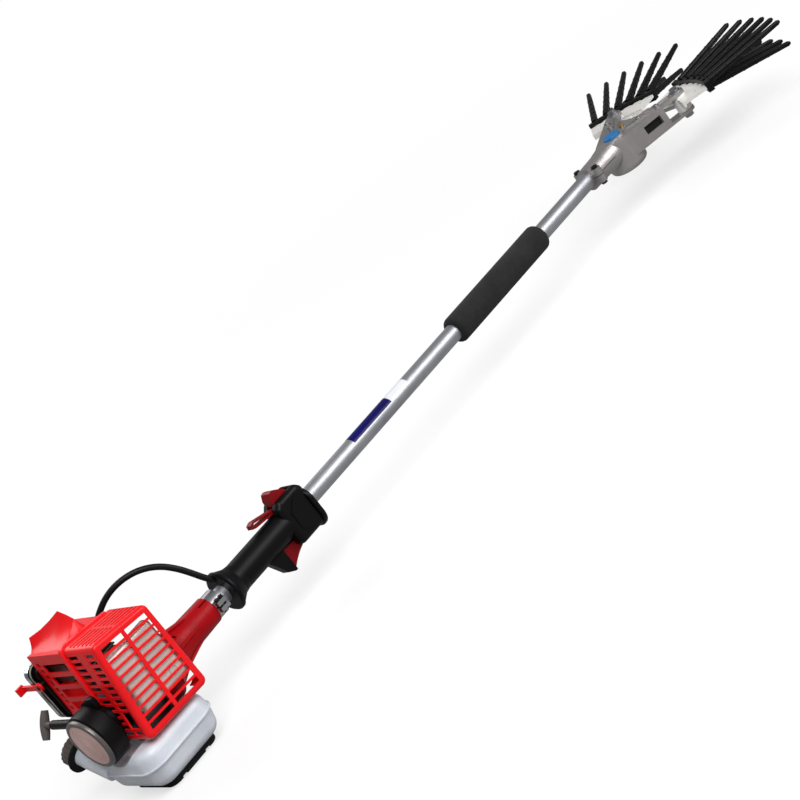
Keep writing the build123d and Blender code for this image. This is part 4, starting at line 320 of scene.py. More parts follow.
@dataclass
class Studio:
    """Camera, soft lamps, pale floor and white surroundings."""

    right: tuple[float, float, float] = (0.56, -0.589, -0.582)
    back: tuple[float, float, float] = (-0.53, -0.795, 0.295)
    eye: tuple[float, float, float] = (-1.048, -2.522, 1.039)
    focal_px: float = 2150.0
    sensor_mm: float = 36.0
    clip_end: float = 60.0
    aim: tuple[float, float, float] = (0.75, 0.0, 0.12)
    lamps: tuple[tuple[str, tuple[float, float, float], float, float], ...] = (
        ("key_lamp", (-0.6, -2.4, 3.2), 2.4, 134.0), ("fill_lamp", (2.6, -2.6, 1.8), 2.0, 72.0),
        ("back_lamp", (0.6, 2.8, 2.6), 2.4, 60.0))
    room_light: tuple[float, float] = (0.24, 1.0)
    floor_r: float = 9.0
    floor_sides: int = 96
    floor_drop: float = 0.0005
    floor_fade: tuple[float, float] = (0.9, 2.0)
    floor_glow: tuple[float, float] = (0.65, 1.0)
    floor_bounce: str = "#9A9A9A"
    floor_seen: str = "#F4F4F4"

    def camera(self) -> None:
        """Stand the camera where the photograph was taken from."""
        back = Vector(self.back).normalized()
        right = Vector(self.right)
        right = (right - back * right.dot(back)).normalized()
        up = back.cross(right)
        data = bpy.data.cameras.new("photo_camera")
        data.sensor_width = self.sensor_mm
        data.sensor_fit = "HORIZONTAL"
        data.lens = self.focal_px * self.sensor_mm / IMAGE_SIDE
        data.clip_end = self.clip_end
        camera = bpy.data.objects.new("photo_camera", data)
        turn = Matrix((right, up, back)).transposed().to_4x4()
        camera.matrix_world = Matrix.Translation(self.eye) @ turn
        bpy.context.scene.collection.objects.link(camera)
        bpy.context.scene.camera = camera

    def lamp(self, name: str, place: tuple[float, float, float], side: float, power: float) -> None:
        """Hang one square lamp that faces the object.

        Args:
            name: Name of the lamp.
            place: Where it hangs, in metres.
            side: Length of its side in metres.
            power: Power in watts.
        """
        data = bpy.data.lights.new(name, "AREA")
        data.size = side
        data.energy = power
        lamp = bpy.data.objects.new(name, data)
        away = Vector(self.aim) - Vector(place)
        lamp.matrix_world = Matrix.Translation(place) @ away.to_track_quat("-Z", "Y").to_matrix().to_4x4()
        bpy.context.scene.collection.objects.link(lamp)

    def world(self) -> None:
        """White to the eye and through clear skins, and a soft even light on the object."""
        world = bpy.data.worlds.new("white_room")
        world.use_nodes = True
        tree = world.node_tree
        tree.nodes.clear()
        path = add_node(tree, "ShaderNodeLightPath", {}, {})
        seen = add_node(tree, "ShaderNodeMath", {"operation": "MAXIMUM"},
                        {0: path.outputs["Is Camera Ray"], 1: path.outputs["Is Transmission Ray"]}).outputs[0]
        strength = add_node(tree, "ShaderNodeMapRange", {},
                            {"Value": seen, "To Min": self.room_light[0], "To Max": self.room_light[1]}).outputs[0]
        light = add_node(tree, "ShaderNodeBackground", {}, {"Color": WHITE, "Strength": strength})
        add_node(tree, "ShaderNodeOutputWorld", {}, {"Surface": light.outputs[0]})
        bpy.context.scene.world = world

    def floor(self) -> None:
        """A pale floor that turns into the white surroundings; it throws little light back up."""
        build = bmesh.new()
        bmesh.ops.create_circle(build, cap_ends=True, radius=self.floor_r, segments=self.floor_sides)
        mesh = bpy.data.meshes.new("studio_floor")
        build.to_mesh(mesh)
        build.free()
        mesh.transform(Matrix.Translation((self.aim[0], 0.0, -self.floor_drop)))
        floor = bpy.data.objects.new("studio_floor", mesh)
        bpy.context.scene.collection.objects.link(floor)
        paint = bpy.data.materials.new("pale_studio_floor")
        paint.use_nodes = True
        tree = paint.node_tree
        tree.nodes.clear()
        coords = add_node(tree, "ShaderNodeTexCoord", {}, {}).outputs["Object"]
        offset = add_node(tree, "ShaderNodeVectorMath", {"operation": "SUBTRACT"},
                          {0: coords, 1: (self.aim[0], 0.0, 0.0)}).outputs["Vector"]
        reach = add_node(tree, "ShaderNodeVectorMath", {"operation": "LENGTH"}, {0: offset}).outputs["Value"]
        fade = add_node(tree, "ShaderNodeMapRange", {"interpolation_type": "SMOOTHSTEP"},
                        {"Value": reach, "From Min": self.floor_fade[0], "From Max": self.floor_fade[1],
                         "To Min": self.floor_glow[0], "To Max": self.floor_glow[1]}).outputs[0]
        path = add_node(tree, "ShaderNodeLightPath", {}, {})
        seen = add_node(tree, "ShaderNodeMath", {"operation": "MULTIPLY"},
                        {0: fade, 1: path.outputs["Is Camera Ray"]}).outputs[0]
        paint_colour = add_node(tree, "ShaderNodeMix", {"data_type": "RGBA"},
                                {0: path.outputs["Is Camera Ray"], MIX_FIRST: linear(self.floor_bounce),
                                 MIX_SECOND: linear(self.floor_seen)}).outputs[MIX_RESULT]
        matte = add_node(tree, "ShaderNodeBsdfDiffuse", {}, {"Color": paint_colour}).outputs[0]
        white = add_node(tree, "ShaderNodeEmission", {}, {"Color": WHITE, "Strength": 1.0}).outputs[0]
        mixed = add_node(tree, "ShaderNodeMixShader", {}, {0: seen, 1: matte, 2: white}).outputs[0]
        add_node(tree, "ShaderNodeOutputMaterial", {}, {"Surface": mixed})
        mesh.materials.append(paint)

    def build(self) -> None:
        """Set up the whole studio."""
        self.camera()
        self.world()
        self.floor()
        for lamp in self.lamps:
            self.lamp(*lamp)
        bpy.context.scene.view_settings.view_transform = "Standard"


Loop = list[Vector]


def circle(centre: Vector, first: Vector, second: Vector, radius: float, sides: int) -> Loop:
    """Lay points round a circle.

    Args:
        centre: Middle of the circle.
        first: Direction of its first point.
        second: Direction a quarter turn on.
        radius: Radius in metres.
        sides: Number of points.

    Returns:
        The points in order.
    """
    angles = [2 * math.pi * k / sides for k in range(sides)]
    return [centre + radius * (math.cos(a) * first + math.sin(a) * second) for a in angles]


def rounded(width: float, height: float, corner: float, steps: int) -> list[tuple[Vector, Vector]]:
    """Walk round a rectangle with round corners.

    Args:
        width: Size along the first direction in metres.
        height: Size along the second direction in metres.
        corner: Radius of the corners.
        steps: Points on each corner.

    Returns:
        Each point with its outward direction, both flat.
    """
    walk = []
    for quarter, (u, v) in enumerate(((1, 1), (-1, 1), (-1, -1), (1, -1))):
        middle = Vector((u * (width / 2 - corner), v * (height / 2 - corner)))
        for k in range(steps):
            a = math.pi / 2 * (quarter + k / (steps - 1))
            outward = Vector((math.cos(a), math.sin(a)))
            walk.append((middle + corner * outward, outward))
    return walk


def skin(build: Any, loops: list[Loop], closed: bool = False) -> None:
    """Join loops of points into one closed skin.

    Args:
        build: The bmesh that takes the skin.
        loops: Loops with the same number of points.
        closed: Whether the last loop joins the first; if not, both ends are capped.
    """
    rows = [[build.verts.new(point) for point in loop] for loop in loops]
    pairs = list(zip(rows, rows[1:]))
    if closed:
        pairs.append((rows[-1], rows[0]))
    for first, second in pairs:
        for k in range(len(first)):
            after = (k + 1) % len(first)
            build.faces.new((first[k], first[after], second[after], second[k]))
    if not closed:
        build.faces.new(rows[0][::-1])
        build.faces.new(rows[-1])


def smooth_mesh(name: str, build: Any) -> Any:
    """Turn a bmesh into a mesh with smooth round faces and crisp edges.

    Args:
        name: Name of the mesh.
        build: The bmesh; it is freed here.

    Returns:
        The mesh.
    """
    bmesh.ops.recalc_face_normals(build, faces=build.faces)
    mesh = bpy.data.meshes.new(name)
    build.to_mesh(mesh)
    build.free()
    mesh.shade_smooth()
    mesh.set_sharp_from_angle(angle=math.radians(CREASE_DEGREES))
    return mesh


def mesh_piece(name: str, build: Any, finish: Finish, body: str | None) -> Any:
    """Turn a bmesh into a finished piece of the object.

    Args:
        name: Name of the piece.
        build: The bmesh, with its place in its points.
        finish: Finish of the piece.
        body: Body that carries it, or None to leave it carried by no body.

    Returns:
        The new object.
    """
    mesh = smooth_mesh(name, build)
    mesh.materials.append(finish.material())
    piece = bpy.data.objects.new(name, mesh)
    bpy.context.scene.collection.objects.link(piece)
    if body:
        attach(piece, body)
    log.info("made %s", name)
    return piece


@dataclass(frozen=True)
class Seat:
    """Place and turn of one repeated unit."""

    place: tuple[float, float, float]
    turn: tuple[float, float, float] = (0.0, 0.0, 0.0)


@dataclass
class Repeater:
    """Sets one unit on many seats with a geometry node tree."""

    name: str = "units_on_seats"

    def tree(self) -> Any:
        """Build the node tree, once.

        Returns:
            The tree, with the inputs Seats, Unit, Finish and Scale.
        """
        made = bpy.data.node_groups.get(self.name)
        if made:
            return made
        made = bpy.data.node_groups.new(self.name, "GeometryNodeTree")
        sockets = {"Seats": "Geometry", "Unit": "Object", "Finish": "Material", "Scale": "Float"}
        for label, kind in sockets.items():
            made.interface.new_socket(label, in_out="INPUT", socket_type=f"NodeSocket{kind}")
        made.interface.new_socket("Pieces", in_out="OUTPUT", socket_type="NodeSocketGeometry")
        given = add_node(made, "NodeGroupInput", {}, {}).outputs
        unit = add_node(made, "GeometryNodeObjectInfo", {}, {"Object": given["Unit"]}).outputs["Geometry"]
        kept = add_node(made, "GeometryNodeInputNamedAttribute", {"data_type": "FLOAT_VECTOR"},
                        {"Name": "turn"}).outputs["Attribute"]
        turn = add_node(made, "FunctionNodeEulerToRotation", {}, {"Euler": kept}).outputs[0]
        laid = add_node(made, "GeometryNodeInstanceOnPoints", {},
                        {"Points": given["Seats"], "Instance": unit, "Rotation": turn,
                         "Scale": given["Scale"]}).outputs[0]
        real = add_node(made, "GeometryNodeRealizeInstances", {}, {"Geometry": laid}).outputs[0]
        done = add_node(made, "GeometryNodeSetMaterial", {},
                        {"Geometry": real, "Material": given["Finish"]}).outputs[0]
        add_node(made, "NodeGroupOutput", {}, {"Pieces": done})
        return made

    def lay(self, name: str, unit: Any, seats: list[Seat], finish: Finish, body: str) -> Any:
        """Make one piece of many units.

        Args:
            name: Name of the piece.
            unit: Bmesh of one unit at the origin; it is freed here.
            seats: Where the units sit.
            finish: Finish of the units.
            body: Body that carries them.

        Returns:
            The new object.
        """
        scene = bpy.context.scene.collection.objects
        model = bpy.data.objects.new(f"{name}_unit", smooth_mesh(f"{name}_unit", unit))
        scene.link(model)
        cloud = bpy.data.meshes.new(f"{name}_seats")
        cloud.from_pydata([seat.place for seat in seats], [], [])
        turns = cloud.attributes.new("turn", "FLOAT_VECTOR", "POINT")
        turns.data.foreach_set("vector", [angle for seat in seats for angle in seat.turn])
        piece = bpy.data.objects.new(name, cloud)
        scene.link(piece)
        repeat = piece.modifiers.new("repeat", "NODES")
        repeat.node_group = self.tree()
        keys = {item.name: item.identifier for item in repeat.node_group.interface.items_tree}
        repeat[keys["Unit"]] = model
        repeat[keys["Finish"]] = finish.material()
        repeat[keys["Scale"]] = 1.0
        graph = bpy.context.evaluated_depsgraph_get()
        mesh = bpy.data.meshes.new_from_object(piece.evaluated_get(graph), depsgraph=graph)
        piece.modifiers.remove(repeat)
        piece.data = mesh
        mesh.name = name
        bpy.data.meshes.remove(cloud)
        bpy.data.meshes.remove(model.data)
        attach(piece, body)
        log.info("laid %s: %d units", name, len(seats))
        return piece


@dataclass
class ThrottleCable:
    """Black sheathed cable from the handle over the engine to the carburettor."""

    radius: float = 0.0046
    start_x: float = 0.213
    end_x: float = 0.032
    carburettor_y: float = 0.084
    length: float = 0.255
    steps: int = 10
    round_steps: int = 5
    shape: tuple[tuple[float, float, float], ...] = (
        (1.0, 0.0, 0.020), (0.945, 0.012, 0.034), (0.895, 0.05, 0.052), (0.84, 0.105, 0.070), (0.775, 0.18, 0.086),
        (0.695, 0.265, 0.098), (0.61, 0.37, 0.105), (0.52, 0.485, 0.1075), (0.435, 0.6, 0.106),
        (0.355, 0.715, 0.1005), (0.285, 0.82, 0.0915), (0.218, 0.905, 0.081), (0.15, 0.968, 0.0715),
        (0.077, 1.0, 0.066), (0.0, 1.0, 0.066))

    def place(self, along: float, across: float, height: float) -> Vector:
        """Place one point of the cable's shape.

        Args:
            along: Share of the way from the carburettor to the handle.
            across: Share of the way out to the carburettor's side.
            height: Height over the tube's axis in metres.

        Returns:
            The point in the object's frame.
        """
        run = self.start_x - self.end_x
        return Vector((self.end_x + along * run, across * self.carburettor_y, AXIS_HEIGHT + height))

    def build(self) -> Any:
        """Lay the cable along its route as one smooth curve.

        Returns:
            The cable's curve object.
        """
        curve = bpy.data.curves.new("throttle_cable_line", "CURVE")
        curve.dimensions = "3D"
        spline = curve.splines.new("NURBS")
        spline.points.add(len(self.shape) - 1)
        for point, share in zip(spline.points, self.shape):
            point.co = (*self.place(*share), 1.0)
        spline.order_u = 3
        spline.use_endpoint_u = True
        spline.resolution_u = self.steps
        curve.bevel_depth = self.radius
        curve.bevel_resolution = self.round_steps
        curve.use_fill_caps = True
        curve.materials.append(CABLE_PVC.material())
        cable = bpy.data.objects.new("throttle_cable_line", curve)
        bpy.context.scene.collection.objects.link(cable)
        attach(cable, "frame")
        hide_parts("throttle_cable")
        return cable

    def declare(self, cable: Any) -> None:
        """Work out the place of the cable's first point; nothing is kept.

        Args:
            cable: The cable's object; not used.
        """
        tuple(self.place(*self.shape[0]))


@dataclass
class StarterRope:
    """Twisted rope from the starter's pulley to its handle."""

    x: float = -0.067
    height: float = 0.0274
    start_y: float = 0.004
    end_y: float = 0.0824
    strand_r: float = 0.00088
    strand_sides: int = 8
    lay_r: float = 0.0009
    strands: int = 3
    turns: float = 7.0
    steps: int = 84

    def point(self, y: float) -> Vector:
        """Place one point of the rope's middle.

        Args:
            y: Distance out from the starter's middle in metres.

        Returns:
            The point in the object's frame.
        """
        return Vector((self.x, y, AXIS_HEIGHT + self.height))

    def build(self) -> None:
        """Twist the strands and run them from the pulley's side out to the handle."""
        build = bmesh.new()
        along, up = Vector((1, 0, 0)), Vector((0, 0, 1))
        for strand in range(self.strands):
            loops = []
            for step in range(self.steps + 1):
                share = step / self.steps
                phase = 2 * math.pi * (strand / self.strands + self.turns * share)
                centre = self.point(self.start_y + share * (self.end_y - self.start_y))
                centre += self.lay_r * (math.cos(phase) * along + math.sin(phase) * up)
                loops.append(circle(centre, along, up, self.strand_r, self.strand_sides))
            skin(build, loops)
        rope = mesh_piece("starter_rope_strands", build, ROPE_YARN, None)
        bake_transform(rope)
        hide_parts("starter_rope")


@dataclass
class PlugVisor:
    """Smooth red visor over the spark plug, with a hollowed rear face and a crest that peaks off its middle."""

    origin: tuple[float, float, float] = (0.025, 0.065, 0.10306)
    slope: float = 8.4
    sink: float = 0.0012
    sections: tuple[tuple[float, float, float, float, float], ...] = (
        (-42.0, -24.0, 0.0, 6.0, 14.0), (-36.0, -34.0, 2.0, 22.0, 15.0), (-22.0, -36.0, 2.0, 29.5, 15.0),
        (-8.0, -38.0, 1.0, 37.0, 15.0), (10.0, -39.0, -7.0, 29.0, 15.0), (30.0, -39.0, -16.0, 22.0, 14.0),
        (49.0, -37.0, -28.0, 18.0, 2.0))
    between: int = 5
    rear_steps: int = 7
    rear_pull: tuple[float, float] = (0.62, 0.22)
    front_pull: tuple[float, float] = (0.35, 0.62)
    crest_half: float = 0.9
    crest_drop: float = 0.3

    def spread(self) -> list[tuple[float, ...]]:
        """Fill in sections between the given ones, in even steps.

        Returns:
            Sections as across, foot, crest, rise and front, in millimetres.
        """
        filled = []
        for first, second in zip(self.sections, self.sections[1:]):
            for k in range(self.between):
                share = k / self.between
                filled.append(tuple(a + (b - a) * share for a, b in zip(first, second)))
        return filled + [self.sections[-1]]

    def loop(self, section: tuple[float, ...], place: Matrix) -> Loop:
        """Draw one section of the visor.

        Args:
            section: Across, foot, crest, rise and front in millimetres.
            place: Frame on the cover's sloping top.

        Returns:
            The section's points in the object's frame.
        """
        across, foot, crest, rise, front = section
        flat = [(foot, -self.sink / MM)]
        for k in range(self.rear_steps + 1):
            s = k / self.rear_steps
            x = foot + (crest - foot) * (2 * s * (1 - s) * self.rear_pull[0] + s * s)
            flat.append((x, rise * (2 * s * (1 - s) * self.rear_pull[1] + s * s)))
        flat.append((crest + self.crest_half, rise - self.crest_drop))
        flat.append((crest + (front - crest) * self.front_pull[0], rise * self.front_pull[1]))
        flat += [(front, 0.0), (front, -self.sink / MM)]
        return [place @ Vector((x * MM, across * MM, z * MM)) for x, z in flat]

    def build(self) -> None:
        """Skin the visor and let it stand for the CAD hood."""
        origin = Vector(self.origin) + Vector((0, 0, AXIS_HEIGHT))
        place = Matrix.Translation(origin) @ Matrix.Rotation(math.radians(self.slope), 4, "Y")
        build = bmesh.new()
        skin(build, [self.loop(section, place) for section in self.spread()])
        visor = mesh_piece("plug_visor", build, COVER_ABS, "frame")
        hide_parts("plug_hood")


@dataclass
class RecoilStarter:
    """Black starter case with its ear, the plaque in its bezel, the pulley, the handle and the rope."""

    bezel: tuple[tuple[float, float], ...] = (
        (39.6, -75.2), (39.6, -78.3), (39.1, -79.7), (37.8, -80.6), (35.8, -80.9), (34.2, -80.95), (33.6, -80.7),
        (33.6, -79.4), (37.0, -77.0))
    bezel_steps: int = 96
    ear: tuple[tuple[float, float], ...] = (
        (14.0, 34.0), (13.0, 40.0), (6.0, 44.5), (-4.0, 48.0), (-14.0, 51.0), (-22.0, 52.5), (-27.0, 50.5),
        (-29.5, 45.0), (-28.0, 36.0), (-24.0, 30.0))
    ear_rows: tuple[tuple[float, float], ...] = ((-50.0, 0.94), (-49.0, 1.0), (-43.0, 1.0), (-42.0, 0.94))

    def dress(self) -> None:
        """Give the starter its finishes."""
        CASE_NYLON.dress("starter_case", "starter_pulley")
        CAP_NYLON.dress("starter_handle")
        PLAQUE_RINGS.dress("starter_plaque")

    def plaque_bezel(self) -> None:
        """Turn the broad grey bezel that holds the plaque, from radii and places along the axis in millimetres."""
        build = bmesh.new()
        loops = []
        axis_point = Vector((0, 0, AXIS_HEIGHT))
        for k in range(self.bezel_steps):
            a = 2 * math.pi * k / self.bezel_steps
            outward = Vector((0, math.cos(a), math.sin(a)))
            loops.append([axis_point + r * MM * outward + Vector((x * MM, 0, 0)) for r, x in self.bezel])
        skin(build, loops, closed=True)
        mesh_piece("starter_plaque_bezel", build, BEZEL_GREY, "frame")

    def case_ear(self) -> None:
        """Raise the ear that holds the case up against the red cover; its edges are broken by the smaller end rows."""
        middle = sum((Vector(spot) for spot in self.ear), Vector((0, 0))) / len(self.ear)
        build = bmesh.new()
        loops = []
        for x, share in self.ear_rows:
            flat = [middle.lerp(Vector(spot), share) for spot in self.ear]
            loops.append([Vector((x * MM, spot.x * MM, AXIS_HEIGHT + spot.y * MM)) for spot in flat])
        skin(build, loops)
        mesh_piece("starter_case_ear", build, CASE_NYLON, "frame")

    def build(self) -> None:
        """Dress the starter and add its bezel, ear and rope."""
        self.dress()
        self.plaque_bezel()
        self.case_ear()
        StarterRope().build()


@dataclass
class AirCleaner:
    """Black air cleaner with its felt joint and three bright ribs."""

    x: float = 0.005
    height: float = 0.046
    size: tuple[float, float] = (0.074, 0.092)
    corner: float = 0.014
    corner_steps: int = 8
    joint_y: tuple[float, float] = (0.1203, 0.1240)
    joint_out: float = 0.00025
    joint_sink: float = 0.0004
    rib_y: tuple[float, ...] = (0.1335, 0.1368, 0.1401)
    rib_inset: float = 0.0015
    rib_r: float = 0.0011
    rib_sides: int = 10

    def ring(self, inset: float, section: list[tuple[float, float]]) -> Any:
        """Bend a section round the outline of the air cleaner.

        Args:
            inset: How far the outline lies inside the cleaner's flange.
            section: Points of the section, outward and along Y, in metres.

        Returns:
            A bmesh of the ring about the cleaner's middle.
        """
        build = bmesh.new()
        width, height = (size - 2 * inset for size in self.size)
        loops = []
        for flat, outward in rounded(width, height, self.corner - inset, self.corner_steps):
            loop = []
            for out, along in section:
                spot = flat + out * outward
                loop.append(Vector((spot.x, along, spot.y)))
            loops.append(loop)
        skin(build, loops, closed=True)
        return build

    def joint(self) -> None:
        """Lay the felt joint between the cleaner's case and its cover."""
        near, far = self.joint_y
        low, high = -self.joint_sink, self.joint_out
        felt = self.ring(0.0, [(low, near), (high, near), (high, far), (low, far)])
        bmesh.ops.translate(felt, verts=felt.verts, vec=(self.x, 0, AXIS_HEIGHT + self.height))
        mesh_piece("air_cleaner_joint", felt, JOINT_FELT, "frame")

    def ribs(self) -> None:
        """Lay the bright ribs round the cover."""
        turns = [2 * math.pi * k / self.rib_sides for k in range(self.rib_sides)]
        section = [(self.rib_r * math.cos(a), self.rib_r * math.sin(a)) for a in turns]
        rib = self.ring(self.rib_inset, section)
        seats = [Seat((self.x, y, AXIS_HEIGHT + self.height)) for y in self.rib_y]
        Repeater().lay("air_cleaner_ribs", rib, seats, TRIM_CHROME, "frame")

    def build(self) -> None:
        """Dress the cleaner and add its joint and ribs."""
        CASE_NYLON.dress("air_cleaner_case", "air_cleaner_cover")
        self.joint()
        self.ribs()


@dataclass
class Engine:
    """Motor block, covers, clutch and tank, with the air cleaner, the visor and the starter on them."""

    covers: tuple[str, ...] = ("muffler_cover", "cylinder_cover", "choke_lever")
    castings: tuple[str, ...] = ("crankcase", "cylinder", "carburettor", "flywheel")
    steel: tuple[str, ...] = ("crankshaft", "clutch_shoes", "clutch_drum", "drum_bearing", "spark_plug", "tube_clamp")
    rubber: tuple[str, ...] = ("tank_foot", "fuel_cap_seal", "primer_bulb")

    def dress(self) -> None:
        """Give every piece of the motor its finish."""
        COVER_ABS.dress(*self.covers)
        ENGINE_CAST.dress(*self.castings)
        CAP_NYLON.dress("fuel_cap")
        TURNED_STEEL.dress(*self.steel)
        SCREW_OXIDE.dress("engine_screws", "clamp_screws")
        FOOT_RUBBER.dress(*self.rubber)
        MUFFLER_STEEL.dress("muffler")
        TANK_POLYTHENE.dress("fuel_tank")
        CLUTCH_PAINT.dress("clutch_case")

    def build(self) -> None:
        """Dress the motor and build what sits on it."""
        self.dress()
        AirCleaner().build()
        PlugVisor().build()
        RecoilStarter().build()


@dataclass
class Pole:
    """Drive tube with its printed film, the throttle handle and the foam grip."""

    tube_r: float = 0.014
    film: float = 0.00012
    wrap_steps: int = 24
    white_span: tuple[float, float] = (0.519, 0.656)
    white_turn: tuple[float, float] = (48.0, 160.0)
    navy_span: tuple[float, float] = (0.518, 0.612)
    navy_turn: tuple[float, float] = (46.0, 154.0)

    def dress(self) -> None:
        """Give the tube, handle and grip their finishes."""
        TUBE_ANODISED.dress("drive_tube")
        TURNED_STEEL.dress("drive_shaft")
        FOOT_RUBBER.dress("shaft_bushes")
        GRIP_FOAM.dress("foam_grip")
        CASE_NYLON.dress("handle_left_half", "handle_right_half")
        SCREW_ZINC.dress("handle_screws")
        # The stop switch takes the darker lever red as painted shade, for the shade it sits in
        LEVER_ABS.dress("throttle_trigger", "lockout_lever", "stop_switch")

    def wrap(self, name: str, layer: int, span: tuple[float, float], turn: tuple[float, float],
             finish: Finish) -> None:
        """Wrap one film part of the way round the tube.

        Args:
            name: Name of the piece.
            layer: Which film it is, counted from the tube.
            span: Where it starts and ends along the tube.
            turn: Where it starts and ends round the tube, in degrees from the left side upwards.
            finish: Finish of the film.
        """
        inner = self.tube_r + layer * self.film
        step = (turn[1] - turn[0]) / self.wrap_steps
        angles = [math.radians(turn[0] + step * k) for k in range(self.wrap_steps + 1)]
        path = [(inner + self.film, a) for a in angles] + [(inner - self.film, a) for a in reversed(angles)]
        build = bmesh.new()
        loops = [[Vector((x, r * math.cos(a), AXIS_HEIGHT + r * math.sin(a))) for r, a in path] for x in span]
        skin(build, loops)
        mesh_piece(name, build, finish, "frame")

    def build(self) -> None:
        """Dress the pole and wrap the plain printed films round it."""
        self.dress()
        self.wrap("tube_film_white", 0, self.white_span, self.white_turn, BAND_WHITE)
        self.wrap("tube_film_navy", 1, self.navy_span, self.navy_turn, BAND_NAVY)


@dataclass
class Hand:
    """One hand of fingers, dressed with the ribs that stiffen each finger."""

    side: Side
    fan_x: float = 1.226
    root_r: float = 0.2161
    step: float = 6.0
    rows: tuple[tuple[int, float, float, float], ...] = ((6, 10.0, 0.008, 5.0), (5, 13.0, -0.002, -9.0))
    length: float = 0.140
    root_size: tuple[float, float] = (0.010, 0.012)
    tip_size: float = 0.008
    corner: float = 0.003
    corner_steps: int = 4
    collars: tuple[float, ...] = (0.014, 0.036, 0.058, 0.080, 0.102)
    collar_half: float = 0.0012
    collar_out: float = 0.0006
    collar_shape: tuple[tuple[float, float], ...] = (
        (-1.0, -1.0), (-1.0, 0.3), (-0.5, 1.0), (0.5, 1.0), (1.0, 0.3), (1.0, -1.0))
    ridge_span: tuple[float, float] = (0.005, 0.126)
    ridge_half: float = 0.0005
    ridge_inset: float = 1.05
    ridge_sides: int = 8

    def section(self, along: float) -> tuple[float, float]:
        """Give a finger's width and height.

        Args:
            along: Distance from its root in metres.

        Returns:
            Width and height in metres.
        """
        share = along / self.length
        width, height = (size + (self.tip_size - size) * share for size in self.root_size)
        return width, height

    def unit(self) -> Any:
        """Build the collars and ridges of one finger along X.

        Returns:
            The bmesh.
        """
        build = bmesh.new()
        profile = [(self.collar_half * shift, self.collar_out * rise) for shift, rise in self.collar_shape]
        for along in self.collars:
            loops = []
            for flat, outward in rounded(*self.section(along), self.corner, self.corner_steps):
                spots = [(shift, flat + rise * outward) for shift, rise in profile]
                loops.append([Vector((along + shift, spot.x, spot.y)) for shift, spot in spots])
            skin(build, loops, closed=True)
        across, up = Vector((0, 1, 0)), Vector((0, 0, 1))
        for y_side in (-1, 1):
            for z_side in (-1, 1):
                loops = []
                for along in self.ridge_span:
                    width, height = self.section(along)
                    edge = height / 2 - self.ridge_inset * self.corner
                    centre = Vector((along, y_side * width / 2, z_side * edge))
                    loops.append(circle(centre, across, up, self.ridge_half, self.ridge_sides))
                skin(build, loops)
        return build

    def seats(self) -> list[Seat]:
        """Find every finger's root.

        Returns:
            One seat for each finger.
        """
        hand = 1 if self.side is Side.LEFT else -1
        seats = []
        for count, first, height, tilt in self.rows:
            lean = math.radians(tilt)
            reach = self.root_r + abs(math.sin(lean)) * self.root_size[1] / 2
            for k in range(count):
                turn = hand * math.radians(first + k * self.step)
                place = (self.fan_x + reach * math.cos(turn), reach * math.sin(turn), AXIS_HEIGHT + height)
                seats.append(Seat(place, (0.0, -lean, turn)))
        return seats

    def build(self) -> None:
        """Dress the hand and lay the ribs on its fingers."""
        name = self.side.value
        HAND_SHEET.dress(f"{name}_hand_plate")
        FINGER_NYLON.dress(*(f"{name}_{part}" for part in ("finger_rail", "upper_fingers", "lower_fingers")))
        Repeater().lay(f"{name}_finger_ribs", self.unit(), self.seats(), FINGER_NYLON, f"{name}_hand")


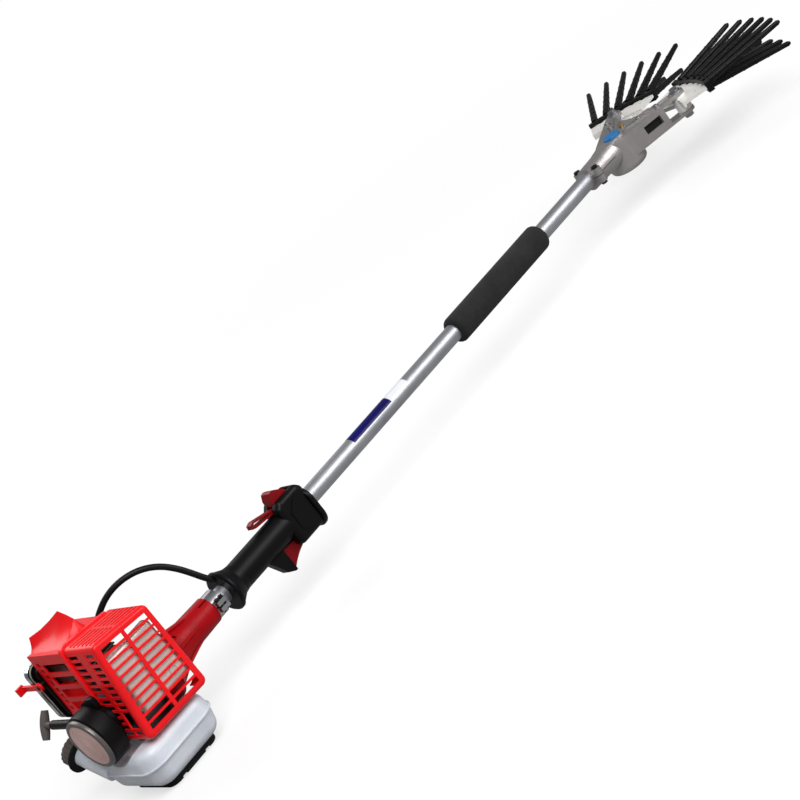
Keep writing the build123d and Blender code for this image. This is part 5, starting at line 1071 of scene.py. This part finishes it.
@dataclass
class PickingHead:
    """Gear casing with its blue cap, its screws, and dark sheets behind its windows that paint in the shade there."""

    gears: tuple[str, ...] = ("bevel_pinion", "head_bearing", "crown_gear", "yoke")
    screw_low: float = 0.0165
    screw_high: float = 0.0212
    screw_r: float = 0.0043
    screw_sides: int = 24
    round_rows: tuple[tuple[float, float], ...] = ((1.0, 0.0), (1.0, 0.8), (0.9, 1.0))
    socket_corners: int = 6
    socket_rows: tuple[tuple[float, float], ...] = ((0.56, 1.0), (0.56, 0.78))
    brass_place: tuple[float, float] = (1.307, 0.0)
    zinc_places: tuple[tuple[float, float], ...] = ((1.315, -0.03375), (1.338, -0.06), (1.315, 0.03375), (1.338, 0.06))
    wall_near: tuple[float, float] = (1.26101, 0.0294)
    wall_far: tuple[float, float] = (1.36916, 0.08722)
    # Dark sheet behind each window, painted shade: its span along the wall, inset, height, half thickness and ripples
    shade_sheet_share: tuple[float, float] = (0.31, 0.67)
    shade_sheet_inset: float = 0.0048
    shade_sheet_height: tuple[float, float] = (-0.0105, 0.0085)
    shade_sheet_half: float = 0.0006
    shade_sheet_ripple_depth: float = 0.0005
    shade_sheet_ripple_count: int = 9
    ripple_steps: int = 6

    def dress(self) -> None:
        """Give the head its finishes."""
        HEAD_CAST.dress("head_upper_case", "head_lower_case")
        CAP_BLUE.dress("gear_cap")
        TURNED_STEEL.dress(*self.gears)
        SCREW_ZINC.dress("pivot_bolts", "head_screws")
        SCREW_OXIDE.dress("clamp_bolts")

    def socket_cap(self) -> Any:
        """Build a screw head with a six-sided socket, standing on the origin.

        Returns:
            The bmesh.
        """
        build = bmesh.new()
        rise = self.screw_high - self.screw_low
        r = self.screw_r
        sides, count = self.screw_sides, self.socket_corners
        parts = sides // count
        first, second = Vector((1, 0, 0)), Vector((0, 1, 0))
        loops = [circle(Vector((0, 0, z * rise)), first, second, share * r, sides) for share, z in self.round_rows]
        for share, z in self.socket_rows:
            corners = circle(Vector((0, 0, z * rise)), first, second, share * r, count)
            loop = []
            for k in range(count):
                loop += [corners[k].lerp(corners[(k + 1) % count], part / parts) for part in range(parts)]
            loops.append(loop)
        skin(build, loops)
        return build

    def screw_heads(self) -> None:
        """Seat the socket heads on the deck's screws, one of them brass."""
        low = AXIS_HEIGHT + self.screw_low
        zinc = [Seat((x, y, low)) for x, y in self.zinc_places]
        Repeater().lay("deck_socket_heads", self.socket_cap(), zinc, SCREW_ZINC, "frame")
        Repeater().lay("deck_brass_head", self.socket_cap(), [Seat((*self.brass_place, low))], SCREW_BRASS, "frame")

    def hang_shade_sheets(self) -> None:
        """Hang a dark wavy sheet behind each window of the casing: painted shade, standing in for the shade inside the
        window.
        """
        build = bmesh.new()
        near, far = Vector(self.wall_near), Vector(self.wall_far)
        inward = Vector((far.y - near.y, near.x - far.x)).normalized()
        count = self.ripple_steps * self.shade_sheet_ripple_count
        for hand in (-1, 1):
            faces: dict[int, Loop] = {-1: [], 1: []}
            for k in range(count + 1):
                share = self.shade_sheet_share[0] + (self.shade_sheet_share[1] - self.shade_sheet_share[0]) * k / count
                wave = self.shade_sheet_ripple_depth * math.sin(2 * math.pi * self.shade_sheet_ripple_count * k / count)
                for face in faces:
                    spot = near.lerp(far, share) + (self.shade_sheet_inset + wave + face * self.shade_sheet_half) * inward
                    faces[face].append(Vector((spot.x, hand * spot.y, AXIS_HEIGHT)))
            outline = faces[1] + faces[-1][::-1]
            skin(build, [[point + Vector((0, 0, z)) for point in outline] for z in self.shade_sheet_height])
        # The sheets wear the dark foot rubber as painted shade inside the windows
        mesh_piece("window_curtains", build, FOOT_RUBBER, "frame")

    def build(self) -> None:
        """Dress the head and add its own detail."""
        self.dress()
        self.screw_heads()
        self.hang_shade_sheets()
        for side in Side:
            Hand(side).build()


def main() -> None:
    """Build the studio and dress every sub-assembly."""
    logging.basicConfig(level=logging.INFO, format="%(message)s")
    Studio().build()
    cable = ThrottleCable()
    cable.declare(cable.build())
    Engine().build()
    Pole().build()
    PickingHead().build()


if __name__ == "__main__":
    main()
